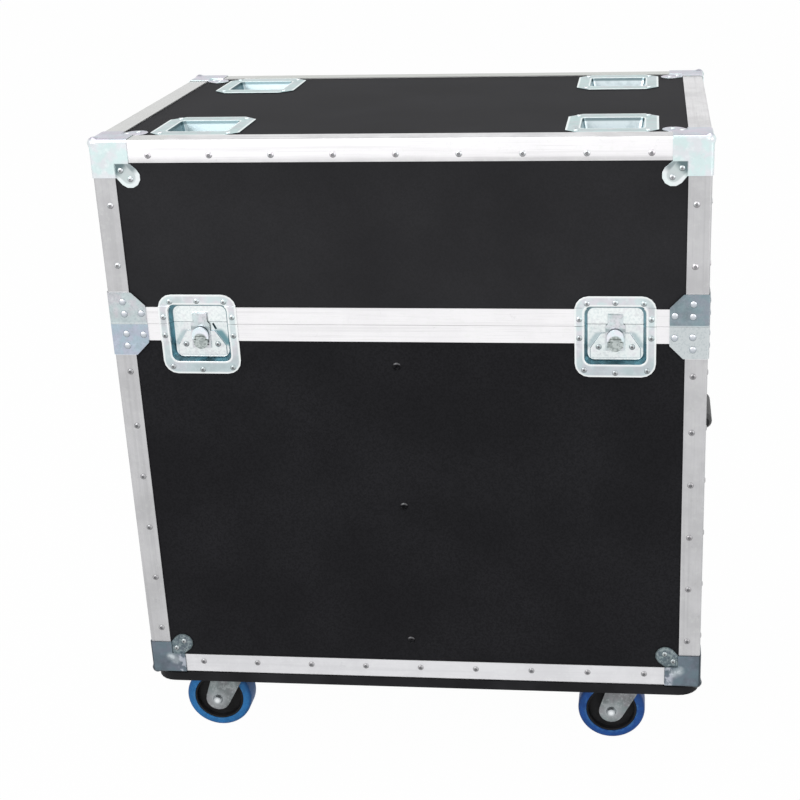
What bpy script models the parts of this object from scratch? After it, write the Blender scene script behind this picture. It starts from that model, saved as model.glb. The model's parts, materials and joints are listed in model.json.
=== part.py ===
"""Lighting flight case on four swivel castors.

Metres, +Z up, the case's front facing -Y. The origin is on the floor, in the
middle of the footprint. Pieces on a face of the case are modelled with local
+Y as the depth below that face, and are then turned and moved into place.
"""

import math

import bmesh
import bpy
from mathutils import Matrix, Vector

# The whole case, measured over the edge angles
BODY_WIDTH = 0.800
BODY_DEPTH = 0.505
BASE_HEIGHT = 0.541
LID_HEIGHT = 0.249

# Clearances and cuts
GAP = 0.0003
OVERRUN = 0.010
MELD = 0.0002

# Panels and the angles that cover their edges
PANEL_THICKNESS = 0.009
ANGLE_LEG = 0.030
ANGLE_THICKNESS = 0.0015
ARRIS_RADIUS = 0.003
ARRIS_SEGMENTS = 2

# Location extrusions round the two rims, and the braces riveted over them
BAND_HEIGHT = 0.0235
BAND_THICKNESS = 0.0015
INNER_LEG_HEIGHT = 0.015
TONGUE_HEIGHT = 0.008
TONGUE_PLAY = 0.0006
BRACE_HEIGHT = 0.044
BRACE_LENGTH = 0.0505
BRACE_CHAMFER = 0.018

# Pressed sheet of the corners, dishes and braces
SHEET = 0.0012

# Corners
CORNER_LENGTH = 0.050
LOBE_CENTRE = 0.049
LOBE_RADIUS = 0.0145
LOBE_SEGMENTS = 6
BALL_CENTRE = 0.005
BALL_RADIUS = 0.0085

# Castor board
BOARD_THICKNESS = 0.015
BOARD_CORNER_RADIUS = 0.030
BOARD_CORNER_SEGMENTS = 6

# Castors
CASTOR_HEIGHT = 0.125
CASTOR_INSET_X = 0.098
CASTOR_INSET_Y = 0.093
CASTOR_TRAIL = 0.029
CASTOR_PLATE_WIDTH = 0.100
CASTOR_PLATE_DEPTH = 0.085
CASTOR_PLATE_THICKNESS = 0.003
CASTOR_PLATE_RADIUS = 0.008
RACE_RADIUS = 0.029
RACE_FOOT_RADIUS = 0.024
RACE_HEIGHT = 0.008
KING_PIN_RADIUS = 0.006
KING_PIN_HEAD_RADIUS = 0.010
KING_PIN_HEAD_HEIGHT = 0.003
FORK_THICKNESS = 0.003
FORK_CROWN_RADIUS = 0.036
FORK_INNER_WIDTH = 0.042
FORK_REAR_REACH = 0.029
FORK_FRONT_REACH = 0.0255
FORK_END_RADIUS = 0.0185
AXLE_RADIUS = 0.005
AXLE_HEAD_RADIUS = 0.008
AXLE_HEAD_HEIGHT = 0.006
WHEEL_RADIUS = 0.050
TREAD_HALF_WIDTH = 0.0125
TYRE_HALF_WIDTH = 0.018
TYRE_SHOULDER_RADIUS = 0.046
RIM_RADIUS = 0.038
WHEEL_WEB_RADIUS = 0.035
WHEEL_WEB_HALF_WIDTH = 0.009
HUB_ROOT_RADIUS = 0.015
HUB_RADIUS = 0.011
WHEEL_SEGMENTS = 32
ROUND_SEGMENTS = 24
PIN_SEGMENTS = 16

# Stacking dishes in the top
DISH_WIDTH = 0.120
DISH_LENGTH = 0.125
DISH_CLIP = 0.018
DISH_MOUTH_WIDTH = 0.082
DISH_MOUTH_LENGTH = 0.074
DISH_MOUTH_RADIUS = 0.006
DISH_RECESS_DEPTH = 0.016
DISH_WALL_SLOPE = 0.003

# Latches
LATCH_INSET = 0.121
LATCH_HALF_WIDTH = 0.0535
LATCH_CORNER_RADIUS = 0.019
LATCH_RISE = 0.041
LATCH_DROP = 0.071
LATCH_MOUTH_HALF_WIDTH = 0.041
LATCH_MOUTH_RADIUS = 0.009
LATCH_MOUTH_RISE = 0.027
LATCH_MOUTH_DROP = 0.0535
LATCH_WALL_SLOPE = 0.0045
LATCH_CORNER_SEGMENTS = 4
LATCH_FLOOR_DEPTH = 0.0096
MECHANISM_HEIGHT = 0.0016
MECHANISM_TOP_HALF_WIDTH = 0.019
MECHANISM_HALF_WIDTH = 0.033
MECHANISM_TOP_DROP = 0.012
MECHANISM_SHOULDER_DROP = 0.033
MECHANISM_FOOT_DROP = 0.046
KEEPER_HALF_WIDTH = 0.009
KEEPER_LOW = 0.007
KEEPER_HIGH = 0.0115
HOOK_THICKNESS = 0.0015
HOOK_HALF_WIDTH = 0.013
HOOK_HEAD_HALF_WIDTH = 0.010
HOOK_FOOT_DROP = 0.036
HOOK_NECK_DROP = 0.002
HOOK_CLAW_DEPTH = 0.0012
HOOK_CLAW_HEIGHT = 0.0015
HOOK_TRAVEL = 0.008
HOOK_PLAY = 0.00105
CAM_DROP = 0.021
CAM_RADIUS = 0.011
CAM_THICKNESS = 0.0016
CAM_ECCENTRIC_RADIUS = 0.006
CAM_JOURNAL_RADIUS = 0.002
CAM_JOURNAL_LENGTH = 0.0013
CAM_BOSS_HALF_LENGTH = 0.0065
CAM_BOSS_HALF_HEIGHT = 0.0023
CAM_STUB_RADIUS = 0.0008
CAM_STUB_REACH = 0.0095
CAM_LOBE_RADIUS = 0.0098
CAM_LOBE_DROP = 0.005
WING_THICKNESS = 0.0028
WING_EYE_RADIUS = 0.0016
WING_ARM_INNER = 0.0068
WING_NOTCH_HEIGHT = 0.0032
WING_RADIUS = 0.011
WING_RISE = 0.0045

# Side handles
HANDLE_HEIGHT = 0.337
HANDLE_DISH_WIDTH = 0.160
HANDLE_DISH_HEIGHT = 0.128
HANDLE_DISH_RADIUS = 0.014
HANDLE_MOUTH_WIDTH = 0.130
HANDLE_MOUTH_HEIGHT = 0.098
HANDLE_MOUTH_RADIUS = 0.008
HANDLE_RECESS_DEPTH = 0.015
HANDLE_WALL_SLOPE = 0.004
HANDLE_PIVOT_RISE = 0.028
HANDLE_PIVOT_DEPTH = 0.006
HANDLE_ROD_RADIUS = 0.003
HANDLE_ROD_SIDES = 12
HANDLE_ARM_SPACING = 0.107
HANDLE_LUG_WIDTH = 0.0045
HANDLE_LUG_HALF_HEIGHT = 0.0055
GRIP_DROP = 0.012
GRIP_PROUD = 0.0045
GRIP_RADIUS = 0.0125
GRIP_END_RADIUS = 0.0085
GRIP_LENGTH = 0.101
GRIP_TAPER = 0.008
GRIP_SEGMENTS = 20

# Hinges
HINGE_SPACING = 0.460
HINGE_WIDTH = 0.064
HINGE_KNUCKLE_SHARE = 1 / 3
HINGE_LEAF_HEIGHT = 0.050
HINGE_LEAF_THICKNESS = 0.0015
HINGE_KNUCKLE_RADIUS = 0.0045
HINGE_PIN_RADIUS = 0.0022
HINGE_PIN_HEAD_RADIUS = 0.0035
HINGE_PIN_HEAD_LENGTH = 0.0015

# Divider inside the base
DIVIDER_OFFSET = -0.013
DIVIDER_THICKNESS = 0.009
DIVIDER_TOP_DROP = 0.030

# Levels and planes that follow from the sizes above
FRONT_PROUD = BALL_RADIUS - BALL_CENTRE
HINGE_AXIS_PROUD = HINGE_KNUCKLE_RADIUS + GAP
REAR_PROUD = HINGE_AXIS_PROUD + HINGE_KNUCKLE_RADIUS
BODY_CENTRE_Y = (FRONT_PROUD - REAR_PROUD) / 2
FRONT_Y = BODY_CENTRE_Y - BODY_DEPTH / 2
REAR_Y = BODY_CENTRE_Y + BODY_DEPTH / 2
HALF_WIDTH = BODY_WIDTH / 2
HALF_DEPTH = BODY_DEPTH / 2
BOTTOM_Z = CASTOR_HEIGHT + BOARD_THICKNESS + GAP
SEAM_Z = BOTTOM_Z + BASE_HEIGHT
TOP_Z = SEAM_Z + LID_HEIGHT
SKIN_DEPTH = ANGLE_THICKNESS + GAP
WALL_DEPTH = SKIN_DEPTH + PANEL_THICKNESS
INNER_LEG_DEPTH = WALL_DEPTH + GAP
SEAM_HALF_GAP = GAP / 2
RIM_CLEARANCE = SEAM_HALF_GAP + BAND_THICKNESS + GAP
COVER_PROUD = SHEET + GAP


def clear_scene():
    """Start from an empty scene."""
    for item in list(bpy.data.objects):
        bpy.data.objects.remove(item, do_unlink=True)


def material(name, colour, roughness, metallic):
    """A plain Principled material of the given colour and finish."""
    made = bpy.data.materials.new(name)
    made.use_nodes = True
    shader = made.node_tree.nodes["Principled BSDF"]
    shader.inputs["Base Color"].default_value = (*colour, 1.0)
    shader.inputs["Roughness"].default_value = roughness
    shader.inputs["Metallic"].default_value = metallic
    return made


def black_board():
    """Black laminate on the case's plywood."""
    return material("black_board", (0.012, 0.012, 0.014), 0.55, 0.0)


def aluminium():
    """Brushed aluminium of the edge angles and rims."""
    return material("aluminium", (0.78, 0.78, 0.80), 0.35, 1.0)


def zinc_plate():
    """Zinc-plated steel of the fittings."""
    return material("zinc_plate", (0.62, 0.66, 0.69), 0.35, 1.0)


def blue_tyre():
    """Blue elastic rubber of the castors' tyres."""
    return material("blue_tyre", (0.02, 0.13, 0.50), 0.6, 0.0)


def black_rubber():
    """Black moulded rubber of the grips."""
    return material("black_rubber", (0.012, 0.012, 0.014), 0.7, 0.0)


def solid(name, bm, finish):
    """Turn the bmesh into an object with its faces pointing out."""
    bmesh.ops.recalc_face_normals(bm, faces=bm.faces)
    mesh = bpy.data.meshes.new(name)
    bm.to_mesh(mesh)
    bm.free()
    made = bpy.data.objects.new(name, mesh)
    bpy.context.scene.collection.objects.link(made)
    mesh.materials.append(finish)
    return made


def smooth(target):
    """Shade round stretches smooth and keep real edges sharp."""
    target.data.shade_smooth()
    target.data.set_sharp_from_angle(angle=math.radians(35))


def place(target, location, rotation=(0, 0, 0), parent=None):
    """Put an object at its place in the world, under a parent if it has one."""
    target.location = location
    target.rotation_euler = rotation
    if parent is not None:
        bpy.context.view_layer.update()
        target.parent = parent
        target.matrix_parent_inverse = parent.matrix_world.inverted()
    return target


def empty(name, location, parent=None):
    """An empty that marks a joint's axis."""
    made = bpy.data.objects.new(name, None)
    bpy.context.scene.collection.objects.link(made)
    return place(made, location, parent=parent)


def combine(target, tool, operation):
    """Join the tool to the target, or cut it out, and drop the tool."""
    cut = target.modifiers.new(operation.title(), "BOOLEAN")
    cut.operation = operation
    cut.object = tool
    bpy.context.view_layer.update()
    evaluated = target.evaluated_get(bpy.context.evaluated_depsgraph_get())
    result = bpy.data.meshes.new_from_object(evaluated)
    result.name = target.name
    target.modifiers.clear()
    target.data = result
    bpy.data.objects.remove(tool, do_unlink=True)
    return target


def add_box(bm, low, high):
    """Add a box between two opposite corners and return its edges."""
    centre = (Vector(low) + Vector(high)) / 2
    size = Vector(high) - Vector(low)
    transform = Matrix.Translation(centre) @ Matrix.Diagonal((*size, 1))
    made = bmesh.ops.create_cube(bm, size=1, matrix=transform)
    return {edge for corner in made["verts"] for edge in corner.link_edges}


def box(name, low, high, finish=None):
    """A box between two opposite corners."""
    bm = bmesh.new()
    add_box(bm, low, high)
    return solid(name, bm, finish)


def prism(name, outline, start, end, finish=None, axis="Y"):
    """An outline of pairs, drawn out along an axis from start to end.

    The pairs are X and Z along Y, Y and Z along X, and X and Y along Z.
    """
    lay = {
        "X": lambda pair, run: (run, pair[0], pair[1]),
        "Y": lambda pair, run: (pair[0], run, pair[1]),
        "Z": lambda pair, run: (pair[0], pair[1], run),
    }[axis]
    bm = bmesh.new()
    near = [bm.verts.new(lay(pair, start)) for pair in outline]
    far = [bm.verts.new(lay(pair, end)) for pair in outline]
    bm.faces.new(near)
    bm.faces.new(list(reversed(far)))
    for index in range(len(outline)):
        following = (index + 1) % len(outline)
        bm.faces.new((near[index], near[following], far[following], far[index]))
    return solid(name, bm, finish)


def turned(name, profile, segments, finish=None, axis="Z"):
    """A profile of (radius, height) pairs, turned round an axis.

    A profile that starts and ends at radius zero gives a closed end, and any
    other profile is a closed section, which gives a ring.
    """
    spin = {
        "X": lambda radius, height, c, s: (height, radius * c, radius * s),
        "Y": lambda radius, height, c, s: (radius * s, height, radius * c),
        "Z": lambda radius, height, c, s: (radius * c, radius * s, height),
    }[axis]
    angles = [2 * math.pi * step / segments for step in range(segments)]
    bm = bmesh.new()
    loops = []
    for radius, height in profile:
        if radius == 0:
            tip = bm.verts.new(spin(0, height, 1, 0))
            loops.append([tip] * segments)
        else:
            loops.append([
                bm.verts.new(spin(radius, height, math.cos(angle), math.sin(angle)))
                for angle in angles
            ])
    if profile[0][0] > 0:
        loops.append(loops[0])
    for lower, upper in zip(loops, loops[1:]):
        for index in range(segments):
            following = (index + 1) % segments
            ring = (lower[index], lower[following], upper[following], upper[index])
            bm.faces.new(list(dict.fromkeys(ring)))
    return solid(name, bm, finish)


def rod(name, radius, start, end, segments, axis, finish=None):
    """A plain cylinder along an axis."""
    return turned(name, [(0, start), (radius, start), (radius, end), (0, end)], segments, finish, axis)


def sheet(name, pairs, faces, finish):
    """A pressed sheet: each pair is a point on its seen side and one on its back."""
    bm = bmesh.new()
    seen = [bm.verts.new(pair[0]) for pair in pairs]
    back = [bm.verts.new(pair[1]) for pair in pairs]
    sides = set()
    for face in faces:
        bm.faces.new([seen[index] for index in face])
        bm.faces.new([back[index] for index in reversed(face)])
        sides.update(zip(face, face[1:] + face[:1]))
    for start, end in sides:
        if (end, start) not in sides:
            bm.faces.new((seen[end], seen[start], back[start], back[end]))
    unused = [point for point in bm.verts if not point.link_faces]
    bmesh.ops.delete(bm, geom=unused, context="VERTS")
    return solid(name, bm, finish)


def arc(centre, radius, start, end, segments):
    """Points along an arc, angles in degrees."""
    angles = [math.radians(start + (end - start) * step / segments) for step in range(segments + 1)]
    return [
        (centre[0] + radius * math.cos(angle), centre[1] + radius * math.sin(angle))
        for angle in angles
    ]


def rounded_rectangle(half_width, half_height, radius, segments):
    """A rectangle with round corners, anticlockwise from the right-hand side."""
    reach_x = half_width - radius
    reach_y = half_height - radius
    outline = arc((reach_x, reach_y), radius, 0, 90, segments)
    outline += arc((-reach_x, reach_y), radius, 90, 180, segments)
    outline += arc((-reach_x, -reach_y), radius, 180, 270, segments)
    outline += arc((reach_x, -reach_y), radius, 270, 360, segments)
    return outline


def clipped_rectangle(half_width, half_height, clip):
    """A rectangle with its corners cut off, three points to a corner."""
    outline = []
    for sign_x, sign_y in ((1, 1), (-1, 1), (-1, -1), (1, -1)):
        side = (sign_x * half_width, sign_y * (half_height - clip))
        middle = (sign_x * (half_width - clip / 2), sign_y * (half_height - clip / 2))
        end = (sign_x * (half_width - clip), sign_y * half_height)
        corner = [side, middle, end]
        outline += corner if sign_x * sign_y > 0 else list(reversed(corner))
    return outline


def bridge(loop_count, point_count, closed):
    """Faces between successive loops of as many points."""
    steps = point_count if closed else point_count - 1
    faces = []
    for loop in range(loop_count - 1):
        for point in range(steps):
            following = (point + 1) % point_count
            here = loop * point_count
            there = here + point_count
            faces.append((here + point, here + following, there + following, there + point))
    return faces


# Panels


def base_wall_span():
    """Lower and upper edge of the base's upright panels."""
    return BOTTOM_Z + WALL_DEPTH + GAP, SEAM_Z - RIM_CLEARANCE


def lid_wall_span():
    """Lower and upper edge of the lid's upright panels."""
    return SEAM_Z + RIM_CLEARANCE, TOP_Z - WALL_DEPTH - GAP


def wall_panels(half, span, finish):
    """Front, rear, left and right panels of one half of the case."""
    low, high = span
    outer_x = HALF_WIDTH - SKIN_DEPTH
    inner_x = HALF_WIDTH - WALL_DEPTH
    side_y = HALF_DEPTH - WALL_DEPTH - GAP
    faces = {
        "front": ((-outer_x, FRONT_Y + SKIN_DEPTH), (outer_x, FRONT_Y + WALL_DEPTH)),
        "rear": ((-outer_x, REAR_Y - WALL_DEPTH), (outer_x, REAR_Y - SKIN_DEPTH)),
        "left": ((-outer_x, BODY_CENTRE_Y - side_y), (-inner_x, BODY_CENTRE_Y + side_y)),
        "right": ((inner_x, BODY_CENTRE_Y - side_y), (outer_x, BODY_CENTRE_Y + side_y)),
    }
    panels = {}
    for side, (near, far) in faces.items():
        name = f"{half}_{side}_panel"
        panels[side] = box(name, (*near, low), (*far, high), finish)
    return panels


def level_panel(name, low_z, finish):
    """A panel that closes the base's bottom or the lid's top."""
    reach_x = HALF_WIDTH - SKIN_DEPTH
    low = (-reach_x, FRONT_Y + SKIN_DEPTH, low_z)
    high = (reach_x, REAR_Y - SKIN_DEPTH, low_z + PANEL_THICKNESS)
    return box(name, low, high, finish)


def latch_places():
    """X of the two latches."""
    reach = HALF_WIDTH - LATCH_INSET
    return {"left": -reach, "right": reach}


def cut_latch_mouths(target, depth_end):
    """Cut the openings that the latch dishes drop into, as deep as given."""
    half = LATCH_MOUTH_HALF_WIDTH + COVER_PROUD
    for place_x in latch_places().values():
        low = (place_x - half, FRONT_Y - OVERRUN, SEAM_Z - LATCH_MOUTH_DROP - COVER_PROUD)
        high = (place_x + half, FRONT_Y + depth_end, SEAM_Z + LATCH_MOUTH_RISE + COVER_PROUD)
        combine(target, box("latch_mouth", low, high), "DIFFERENCE")


def cut_handle_mouth(panel, side):
    """Cut the opening of a side handle's dish."""
    middle_z = BOTTOM_Z + HANDLE_HEIGHT
    half_y = HANDLE_MOUTH_WIDTH / 2 + COVER_PROUD
    half_z = HANDLE_MOUTH_HEIGHT / 2 + COVER_PROUD
    inner = side * (HALF_WIDTH - WALL_DEPTH - OVERRUN)
    outer = side * (HALF_WIDTH + OVERRUN)
    low = (min(inner, outer), BODY_CENTRE_Y - half_y, middle_z - half_z)
    high = (max(inner, outer), BODY_CENTRE_Y + half_y, middle_z + half_z)
    combine(panel, box("handle_mouth", low, high), "DIFFERENCE")


def stacking_places():
    """X and Y of the four stacking dishes, over the wheels of castors turned inwards."""
    reach_x = HALF_WIDTH - CASTOR_INSET_X - CASTOR_TRAIL
    reach_y = HALF_DEPTH - CASTOR_INSET_Y
    return {
        "front_left": (-reach_x, BODY_CENTRE_Y - reach_y),
        "front_right": (reach_x, BODY_CENTRE_Y - reach_y),
        "rear_left": (-reach_x, BODY_CENTRE_Y + reach_y),
        "rear_right": (reach_x, BODY_CENTRE_Y + reach_y),
    }


def cut_stacking_mouths(panel):
    """Cut the openings of the four stacking dishes."""
    half_x = DISH_MOUTH_WIDTH / 2 + COVER_PROUD
    half_y = DISH_MOUTH_LENGTH / 2 + COVER_PROUD
    for place_x, place_y in stacking_places().values():
        low = (place_x - half_x, place_y - half_y, TOP_Z - WALL_DEPTH - OVERRUN)
        high = (place_x + half_x, place_y + half_y, TOP_Z + OVERRUN)
        combine(panel, box("dish_mouth", low, high), "DIFFERENCE")


def divider(finish):
    """The upright board between the two bays of the base."""
    low_x = DIVIDER_OFFSET - DIVIDER_THICKNESS / 2
    low = (low_x, FRONT_Y + WALL_DEPTH + GAP, BOTTOM_Z + WALL_DEPTH + GAP)
    high = (low_x + DIVIDER_THICKNESS, REAR_Y - WALL_DEPTH - GAP, SEAM_Z - DIVIDER_TOP_DROP)
    return box("base_divider", low, high, finish)


# Edge angles and rims


def edge_frame(name, height, finish):
    """Angles along the four edges of one end and up its four corners.

    The closed end is at local Z zero and the open end at the given height.
    """
    bm = bmesh.new()
    low = (-HALF_WIDTH, -HALF_DEPTH, 0)
    high = (HALF_WIDTH, HALF_DEPTH, height)
    edges = add_box(bm, low, high)
    round_edges = [edge for edge in edges if min(corner.co.z for corner in edge.verts) < height / 2]
    bmesh.ops.bevel(bm, geom=round_edges, offset=ARRIS_RADIUS, segments=ARRIS_SEGMENTS,
                    profile=0.5, affect="EDGES")
    frame = solid(name, bm, finish)
    wide = HALF_WIDTH - ANGLE_THICKNESS
    deep = HALF_DEPTH - ANGLE_THICKNESS
    window_x = HALF_WIDTH - ANGLE_LEG
    window_y = HALF_DEPTH - ANGLE_LEG
    over_x = HALF_WIDTH + OVERRUN
    over_y = HALF_DEPTH + OVERRUN
    over_z = height + OVERRUN
    cuts = (
        ((-wide, -deep, ANGLE_THICKNESS), (wide, deep, over_z)),
        ((-window_x, -over_y, ANGLE_LEG), (window_x, over_y, over_z)),
        ((-over_x, -window_y, ANGLE_LEG), (over_x, window_y, over_z)),
        ((-window_x, -window_y, -OVERRUN), (window_x, window_y, ANGLE_LEG)),
    )
    for low, high in cuts:
        combine(frame, box("window", low, high), "DIFFERENCE")
    return frame


def rim_section(direction):
    """Section of a location extrusion, in (depth, height above the seam).

    Direction is -1 for the base's rim and 1 for the lid's, which has the tongue.
    """
    seam = direction * SEAM_HALF_GAP
    web = direction * (SEAM_HALF_GAP + BAND_THICKNESS)
    inner = INNER_LEG_DEPTH + BAND_THICKNESS
    section = [
        (0, seam),
        (0, direction * BAND_HEIGHT),
        (BAND_THICKNESS, direction * BAND_HEIGHT),
        (BAND_THICKNESS, web),
        (INNER_LEG_DEPTH, web),
        (INNER_LEG_DEPTH, direction * INNER_LEG_HEIGHT),
        (inner, direction * INNER_LEG_HEIGHT),
    ]
    if direction > 0:
        tongue = inner + TONGUE_PLAY
        section += [
            (inner, web),
            (tongue + BAND_THICKNESS, web),
            (tongue + BAND_THICKNESS, -TONGUE_HEIGHT),
            (tongue, -TONGUE_HEIGHT),
            (tongue, seam),
        ]
    else:
        section.append((inner, seam))
    return section


def mitred_ring(name, section, finish):
    """Carry a section round the case's four sides, mitred at the corners."""
    bm = bmesh.new()
    loops = []
    for sign_x, sign_y in ((-1, -1), (1, -1), (1, 1), (-1, 1)):
        loops.append([
            bm.verts.new((sign_x * (HALF_WIDTH - depth), sign_y * (HALF_DEPTH - depth), height))
            for depth, height in section
        ])
    for index, loop in enumerate(loops):
        following = loops[(index + 1) % len(loops)]
        for point in range(len(section)):
            other = (point + 1) % len(section)
            bm.faces.new((loop[point], loop[other], following[other], following[point]))
    return solid(name, bm, finish)


def wrap_point(place, proud):
    """A point that is so far along a wall from the corner, and so proud of it.

    A negative place is on the corner's other wall. Points nearer the corner
    than the arris radius follow its round.
    """
    along = abs(place)
    if along >= ARRIS_RADIUS:
        plan = (along, -proud)
    else:
        turn = math.radians(45) * (1 + along / ARRIS_RADIUS)
        reach = ARRIS_RADIUS + proud
        plan = (ARRIS_RADIUS - reach * math.cos(turn), ARRIS_RADIUS - reach * math.sin(turn))
    return plan if place > 0 else (plan[1], plan[0])


def brace(sign_x, sign_y, direction, finish):
    """A seam brace: it lies on the rim and stands a gap off the angle beyond it."""
    places = (-BRACE_LENGTH, BRACE_CHAMFER - BRACE_LENGTH, -ARRIS_RADIUS, 0,
              ARRIS_RADIUS, BRACE_LENGTH - BRACE_CHAMFER, BRACE_LENGTH)
    pairs = []
    for height, back_proud in (
        (SEAM_HALF_GAP, -BAND_THICKNESS / 2),
        (BAND_HEIGHT - MELD, -BAND_THICKNESS / 2),
        (BAND_HEIGHT + MELD, GAP),
        (BRACE_HEIGHT, GAP),
    ):
        for place in places:
            level = height
            if height == BRACE_HEIGHT and abs(place) == BRACE_LENGTH:
                level -= BRACE_CHAMFER
            both = []
            for proud in (COVER_PROUD, back_proud):
                plan_x, plan_y = wrap_point(place, proud)
                both.append((sign_x * (HALF_WIDTH - plan_x), sign_y * (HALF_DEPTH - plan_y),
                             direction * level))
            pairs.append(both)
    return sheet("brace", pairs, bridge(4, len(places), closed=False), finish)


def location_rim(half, direction, finish):
    """One half's location extrusion, with its four seam braces riveted on."""
    rim = mitred_ring(f"{half}_location_frame", rim_section(direction), finish)
    for sign_x in (-1, 1):
        for sign_y in (-1, 1):
            combine(rim, brace(sign_x, sign_y, direction, finish), "UNION")
    place(rim, (0, BODY_CENTRE_Y, SEAM_Z))
    cut_latch_mouths(rim, INNER_LEG_DEPTH)
    return rim


# Corners


def rounded_corner_point(point, proud):
    """Move a point of the sharp corner to where the pressed corner has it.

    Proud is the height over the body's faces. Near the vertex the sheet is
    blown out into part of a ball.
    """
    core = Vector([max(value, ARRIS_RADIUS) for value in point])
    away = (Vector(point) - core).normalized()
    moved = core + away * (ARRIS_RADIUS + proud)
    ball = Vector((BALL_CENTRE, BALL_CENTRE, BALL_CENTRE))
    radius = BALL_RADIUS - COVER_PROUD + proud
    reach = moved - ball
    if reach.length < radius:
        moved = ball + reach.normalized() * radius
    return moved


def corner_mesh(finish):
    """A cranked corner with a lobe on each face, its vertex at the local origin."""
    web = ANGLE_LEG + GAP + SHEET
    ball_rim = BALL_CENTRE + math.sqrt(BALL_RADIUS ** 2 - (BALL_CENTRE + COVER_PROUD) ** 2)
    lines = (0, ARRIS_RADIUS, BALL_CENTRE, ball_rim, web, CORNER_LENGTH)
    pairs = []
    index_of = {}
    faces = []

    def spread(face_axis, along, across, level):
        """Coordinates in the corner's axes of a point on one of its faces."""
        point = [0, 0, 0]
        point[face_axis] = level
        point[(face_axis + 1) % 3] = along
        point[(face_axis + 2) % 3] = across
        return tuple(point)

    def pair_of(key, seen, back):
        """Number of the pair, which is made when it is first asked for."""
        if key not in index_of:
            index_of[key] = len(pairs)
            pairs.append((seen, back))
        return index_of[key]

    def high(face_axis, along, across):
        """A point over the angles. Where the web drops, the back steps in by the sheet."""
        key = spread(face_axis, along, across, 0)
        seen = rounded_corner_point(key, COVER_PROUD)
        back_along = along - SHEET if along == web and across >= web else along
        back_across = across - SHEET if across == web and along >= web else across
        if along >= web and across >= web:
            back = spread(face_axis, back_along, back_across, -GAP)
        else:
            back = rounded_corner_point(key, GAP)
        return pair_of(key, seen, back)

    def low(face_axis, along, across):
        """A point on the panel."""
        back_along = along - SHEET if along == web else along
        back_across = across - SHEET if across == web else across
        panel = SKIN_DEPTH - GAP
        seen = spread(face_axis, along, across, panel - SHEET)
        back = spread(face_axis, back_along, back_across, panel)
        return pair_of(("panel", face_axis, along, across), seen, back)

    for face_axis in range(3):
        for first in range(len(lines) - 1):
            for second in range(len(lines) - 1):
                if first == second == len(lines) - 2:
                    continue
                a0, a1 = lines[first], lines[first + 1]
                b0, b1 = lines[second], lines[second + 1]
                quad = ((a0, b0), (a1, b0), (a1, b1), (a0, b1))
                faces.append(tuple(high(face_axis, *corner) for corner in quad))
        for start, end in (((CORNER_LENGTH, web), (web, web)), ((web, web), (web, CORNER_LENGTH))):
            faces.append((high(face_axis, *end), high(face_axis, *start),
                          low(face_axis, *start), low(face_axis, *end)))
        lobe = [(web, web), (CORNER_LENGTH, web)]
        lobe += arc((LOBE_CENTRE, LOBE_CENTRE), LOBE_RADIUS, -45, 135, LOBE_SEGMENTS)
        lobe += [(web, CORNER_LENGTH)]
        faces.append(tuple(low(face_axis, *point) for point in lobe))
    return sheet("corner", pairs, faces, finish)


def corners(finish, lid_parent):
    """The eight corners, which share one mesh."""
    pattern = corner_mesh(finish)
    smooth(pattern)
    swap = Matrix(((0, 1, 0), (1, 0, 0), (0, 0, 1)))
    for half, sign_z, level, parent in (("base", -1, BOTTOM_Z, None), ("lid", 1, TOP_Z, lid_parent)):
        for depth_name, sign_y, face_y in (("front", -1, FRONT_Y), ("rear", 1, REAR_Y)):
            for side_name, sign_x in (("left", -1), ("right", 1)):
                turn = Matrix.Diagonal((-sign_x, -sign_y, -sign_z))
                if turn.determinant() < 0:
                    turn = turn @ swap
                name = f"{half}_corner_{depth_name}_{side_name}"
                made = bpy.data.objects.new(name, pattern.data)
                bpy.context.scene.collection.objects.link(made)
                place(made, (sign_x * HALF_WIDTH, face_y, level), turn.to_euler(), parent)
    bpy.data.objects.remove(pattern, do_unlink=True)


# Castor board and castors


def castor_board(finish):
    """The board under the base, with shallow pockets for the bottom corners."""
    outline = rounded_rectangle(HALF_WIDTH, HALF_DEPTH, BOARD_CORNER_RADIUS, BOARD_CORNER_SEGMENTS)
    low = CASTOR_HEIGHT
    board = prism("castor_board", outline, low, low + BOARD_THICKNESS, finish, axis="Z")
    pockets = (
        (CORNER_LENGTH + GAP, COVER_PROUD + GAP),
        (BALL_CENTRE + BALL_RADIUS + GAP, FRONT_PROUD + GAP),
    )
    for sign_x in (-1, 1):
        for sign_y in (-1, 1):
            for reach, depth in pockets:
                xs = sorted((sign_x * (HALF_WIDTH - reach), sign_x * (HALF_WIDTH + OVERRUN)))
                ys = sorted((sign_y * (HALF_DEPTH - reach), sign_y * (HALF_DEPTH + OVERRUN)))
                pocket = box("pocket", (xs[0], ys[0], BOTTOM_Z - depth),
                             (xs[1], ys[1], BOTTOM_Z + OVERRUN))
                combine(board, pocket, "DIFFERENCE")
    return place(board, (0, BODY_CENTRE_Y, 0))


def tangent_point(outside, centre, radius, side):
    """Where a line from a point outside a circle touches it."""
    dx = centre[0] - outside[0]
    dy = centre[1] - outside[1]
    distance = math.hypot(dx, dy)
    turn = math.atan2(dy, dx) + side * math.asin(radius / distance)
    run = math.sqrt(distance ** 2 - radius ** 2)
    return outside[0] + run * math.cos(turn), outside[1] + run * math.sin(turn)


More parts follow.
